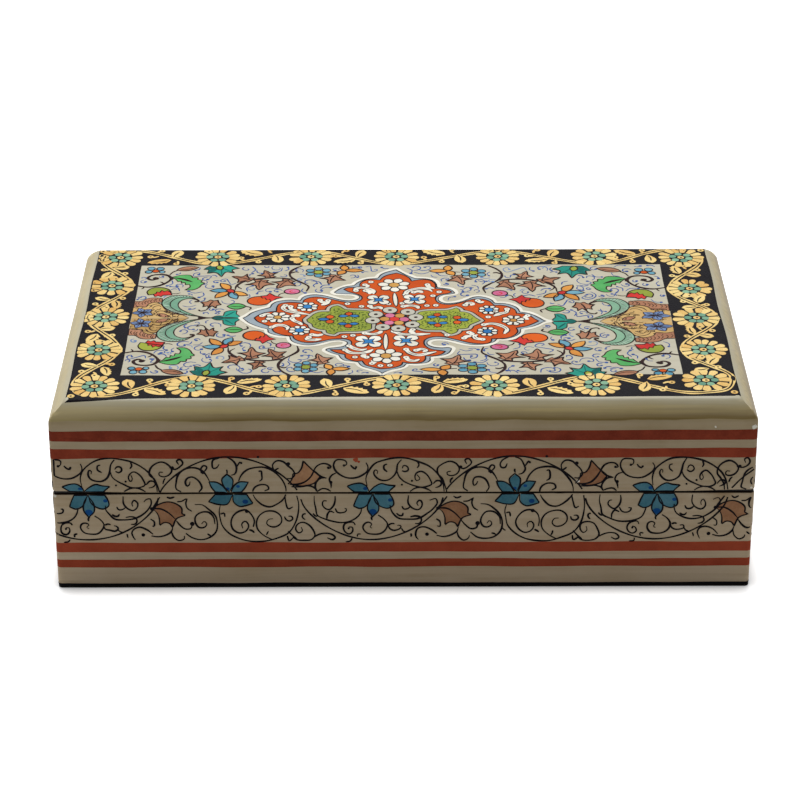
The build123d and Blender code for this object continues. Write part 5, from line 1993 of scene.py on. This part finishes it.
# %% Make the pigments
PIGMENTS = {  # colour as it dries, and a darker shade where it is thin or thick
    "lamp_black": ("#1D1B20", "#121014"),
    "gold": ("#E2C780", "#CC9F50"),
    "celadon": ("#8DB798", "#679680"),
    "pale_green": ("#B9D2BE", "#8FB59B"),
    "viridian": ("#2FA08C", "#1E7F72"),
    "dark_viridian": ("#176B63", "#0F4E4B"),
    "bottle_green": ("#3F5A22", "#2B4318"),
    "leaf_green": ("#66B86A", "#3C9552"),
    "lime": ("#A0AB42", "#84923A"),
    "orange": ("#E06422", "#C44E18"),
    "orange_ochre": ("#E3A14E", "#C9803A"),
    "ochre": ("#D9A95A", "#BC8644"),
    "vermilion": ("#DC3F35", "#B82C2C"),
    "straw_ochre": ("#D2AF74", "#B08C54"),
    "pink": ("#DC7F9E", "#C25E88"),
    "leaf_brown": ("#B98567", "#9B6A50"),
    "sepia": ("#352120", "#1E1211"),
    "stone": ("#C3C0B2", "#A9A79A"),
    "white": ("#F4F1E4", "#DEDACB"),
    "slate_blue": ("#A6B2B9", "#8B99A4"),
    "sky_blue": ("#76AABD", "#4E8CA6"),
    "cobalt": ("#3C86C4", "#2A69A8"),
    "pale_blue": ("#7E96BE", "#6580AE"),
    "ultramarine": ("#42609F", "#2E4A8A"),
    "violet_blue": ("#7C93BC", "#5D76A4"),
    "brick_red": ("#B6543A", "#9E4630"),
    # A darker copy of the brick red: painted shade on the lid's stripes.
    "dark_brick_red": ("#9E4832", "#7A3425"),
    "lotus_blue": ("#5F90A0", "#3B6F80"),
    "prussian_blue": ("#1F5796", "#18437A"),
    "rose_brown": ("#BE926E", "#9A6C4E"),
}
GRAIN_SIZE = 0.5  # of the ground pigment: coarser than real, so that it shows
GRAIN_RELIEF = 0.03
LOAD_SIZE = 4.5  # how long a stroke stays thick or thin
TONE_SHARE = 0.35
GRAIN_SHARE = 0.5
PAINT_SHEEN = {"Specular IOR Level": 0.008}
GOLD_SHEEN = {"Specular IOR Level": 0.03, "Metallic": 0.1}


def make_pigment(name):
    """Pigment bound in glue and varnished. Its tone follows how full the brush was."""
    body, deep = PIGMENTS[name]
    material, tree = new_material(f"{name}_in_glue")
    place = add(tree, "ShaderNodeTexCoord").outputs["Object"]
    settings = {"Scale": 1 / (LOAD_SIZE * MM), "Detail": 4.0}
    load = add(tree, "ShaderNodeTexNoise", settings, {"Vector": place})
    settings = {"Scale": 1 / (GRAIN_SIZE * MM), "Detail": 2.0}
    grain = add(tree, "ShaderNodeTexNoise", settings, {"Vector": place})
    tone = add(tree, "ShaderNodeAttribute", {"attribute_name": "tone"}).outputs["Fac"]
    total = load
    for source, share in ((tone, TONE_SHARE), (grain, GRAIN_SHARE)):
        added = {"operation": "MULTIPLY_ADD", 1: share}
        total = add(tree, "ShaderNodeMath", added, {0: source, 2: total})
    thin = add(tree, "ShaderNodeMapRange", {"From Min": 0.45, "From Max": 1.15}, {"Value": total})
    settings = RGBA | {FIRST: linear(body), SECOND: linear(deep)}
    colour = add(tree, "ShaderNodeMix", settings, {FACTOR: thin})
    dull = add(tree, "ShaderNodeMapRange", {"To Min": 0.2, "To Max": 0.34}, {"Value": grain})
    grainy = {"Strength": 0.3, "Distance": GRAIN_RELIEF * MM}
    relief = add(tree, "ShaderNodeBump", grainy, {"Height": grain})
    sheen = GOLD_SHEEN if name == "gold" else PAINT_SHEEN
    links = {"Base Color": colour, "Roughness": dull, "Normal": relief}
    shader = add(tree, "ShaderNodeBsdfPrincipled", sheen, links)
    add(tree, "ShaderNodeOutputMaterial", links={"Surface": shader})
    return material


print("pigments", len(PIGMENTS))

# %% Turn the marks into pieces
pigment_materials = {}


def make_piece(name, store):
    """One mesh from all marks of one pigment in one place."""
    pigment = max((key for key in PIGMENTS if name.endswith("_" + key)), key=len)
    if pigment not in pigment_materials:
        pigment_materials[pigment] = make_pigment(pigment)
    mesh = bpy.data.meshes.new(name)
    mesh.from_pydata(np.concatenate(store["points"]) * MM, [], store["faces"])
    flat = np.concatenate(store["map"]) / ATLAS_SIDE
    tone = mesh.attributes.new("tone", "FLOAT", "POINT")
    tone.data.foreach_set("value", np.concatenate(store["tone"]).astype(np.float32))
    corners = np.zeros(len(mesh.loops), np.int32)
    mesh.loops.foreach_get("vertex_index", corners)
    sheet_map = mesh.uv_layers.new(name="OFBake")
    flat_corners = np.column_stack([flat.real[corners], flat.imag[corners]]).astype(np.float32)
    sheet_map.data.foreach_set("uv", flat_corners.ravel())
    mesh.materials.append(pigment_materials[pigment])
    piece = bpy.data.objects.new(name, mesh)
    bpy.context.scene.collection.objects.link(piece)
    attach(piece, "base" if name.startswith("base_") else "lid")
    return len(mesh.polygons)


faces_made = {name: make_piece(name, store) for name, store in sorted(paint.items())}
print(len(faces_made), "painted pieces,", sum(faces_made.values()), "faces")

# %% Finish the boards, the lip and the underside
LACQUER = ("#1B1613", "#2C241E")
FLOCK = ("#141313", "#262423")


def make_dark(name, colours, size, stretch, roughness, bump, sheen):
    """A dark finish: two close colours, mixed by streaks or nap of a real size."""
    material, tree = new_material(name)
    place = add(tree, "ShaderNodeTexCoord").outputs["Object"]
    drawn = add(tree, "ShaderNodeMapping", {"Scale": stretch}, {"Vector": place})
    settings = {"Scale": 1 / (size * MM), "Detail": 4.0, "Roughness": 0.65}
    noise = add(tree, "ShaderNodeTexNoise", settings, {"Vector": drawn})
    span = {"From Min": 0.3, "From Max": 0.7}
    thin = add(tree, "ShaderNodeMapRange", span, {"Value": noise})
    settings = RGBA | {FIRST: linear(colours[0]), SECOND: linear(colours[1])}
    colour = add(tree, "ShaderNodeMix", settings, {FACTOR: thin})
    gloss = {"To Min": roughness[0], "To Max": roughness[1]}
    dull = add(tree, "ShaderNodeMapRange", gloss, {"Value": noise})
    settings = {"Strength": 0.4, "Distance": bump * MM}
    relief = add(tree, "ShaderNodeBump", settings, {"Height": noise})
    links = {"Base Color": colour, "Roughness": dull, "Normal": relief}
    shader = add(tree, "ShaderNodeBsdfPrincipled", {"Specular IOR Level": sheen}, links)
    add(tree, "ShaderNodeOutputMaterial", links={"Surface": shader})
    return material


BRUSHED_BOARD = (LACQUER, 1.1, (0.05, 1, 1), (0.25, 0.5), 0.08, 0.3)  # streaks along the board
BRUSHED_STRIP = (LACQUER, 0.7, (0.08, 1, 1), (0.3, 0.5), 0.06, 0.3)
NAP = (FLOCK, 0.35, (1, 1, 1), (0.85, 1.0), 0.15, 0.03)
board_lacquer = make_dark("black_lacquer_on_pulp_board", *BRUSHED_BOARD)
strip_lacquer = make_dark("black_lacquer_on_wood_strip", *BRUSHED_STRIP)
flock = make_dark("black_flock_sheet", *NAP)
for name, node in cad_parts.items():
    finish = strip_lacquer if name.startswith("lip_") else board_lacquer
    node.data.materials.clear()
    node.data.materials.append(flock if name == "underside_sheet" else finish)
flock_edge.data.materials.append(flock)
print("boards finished")
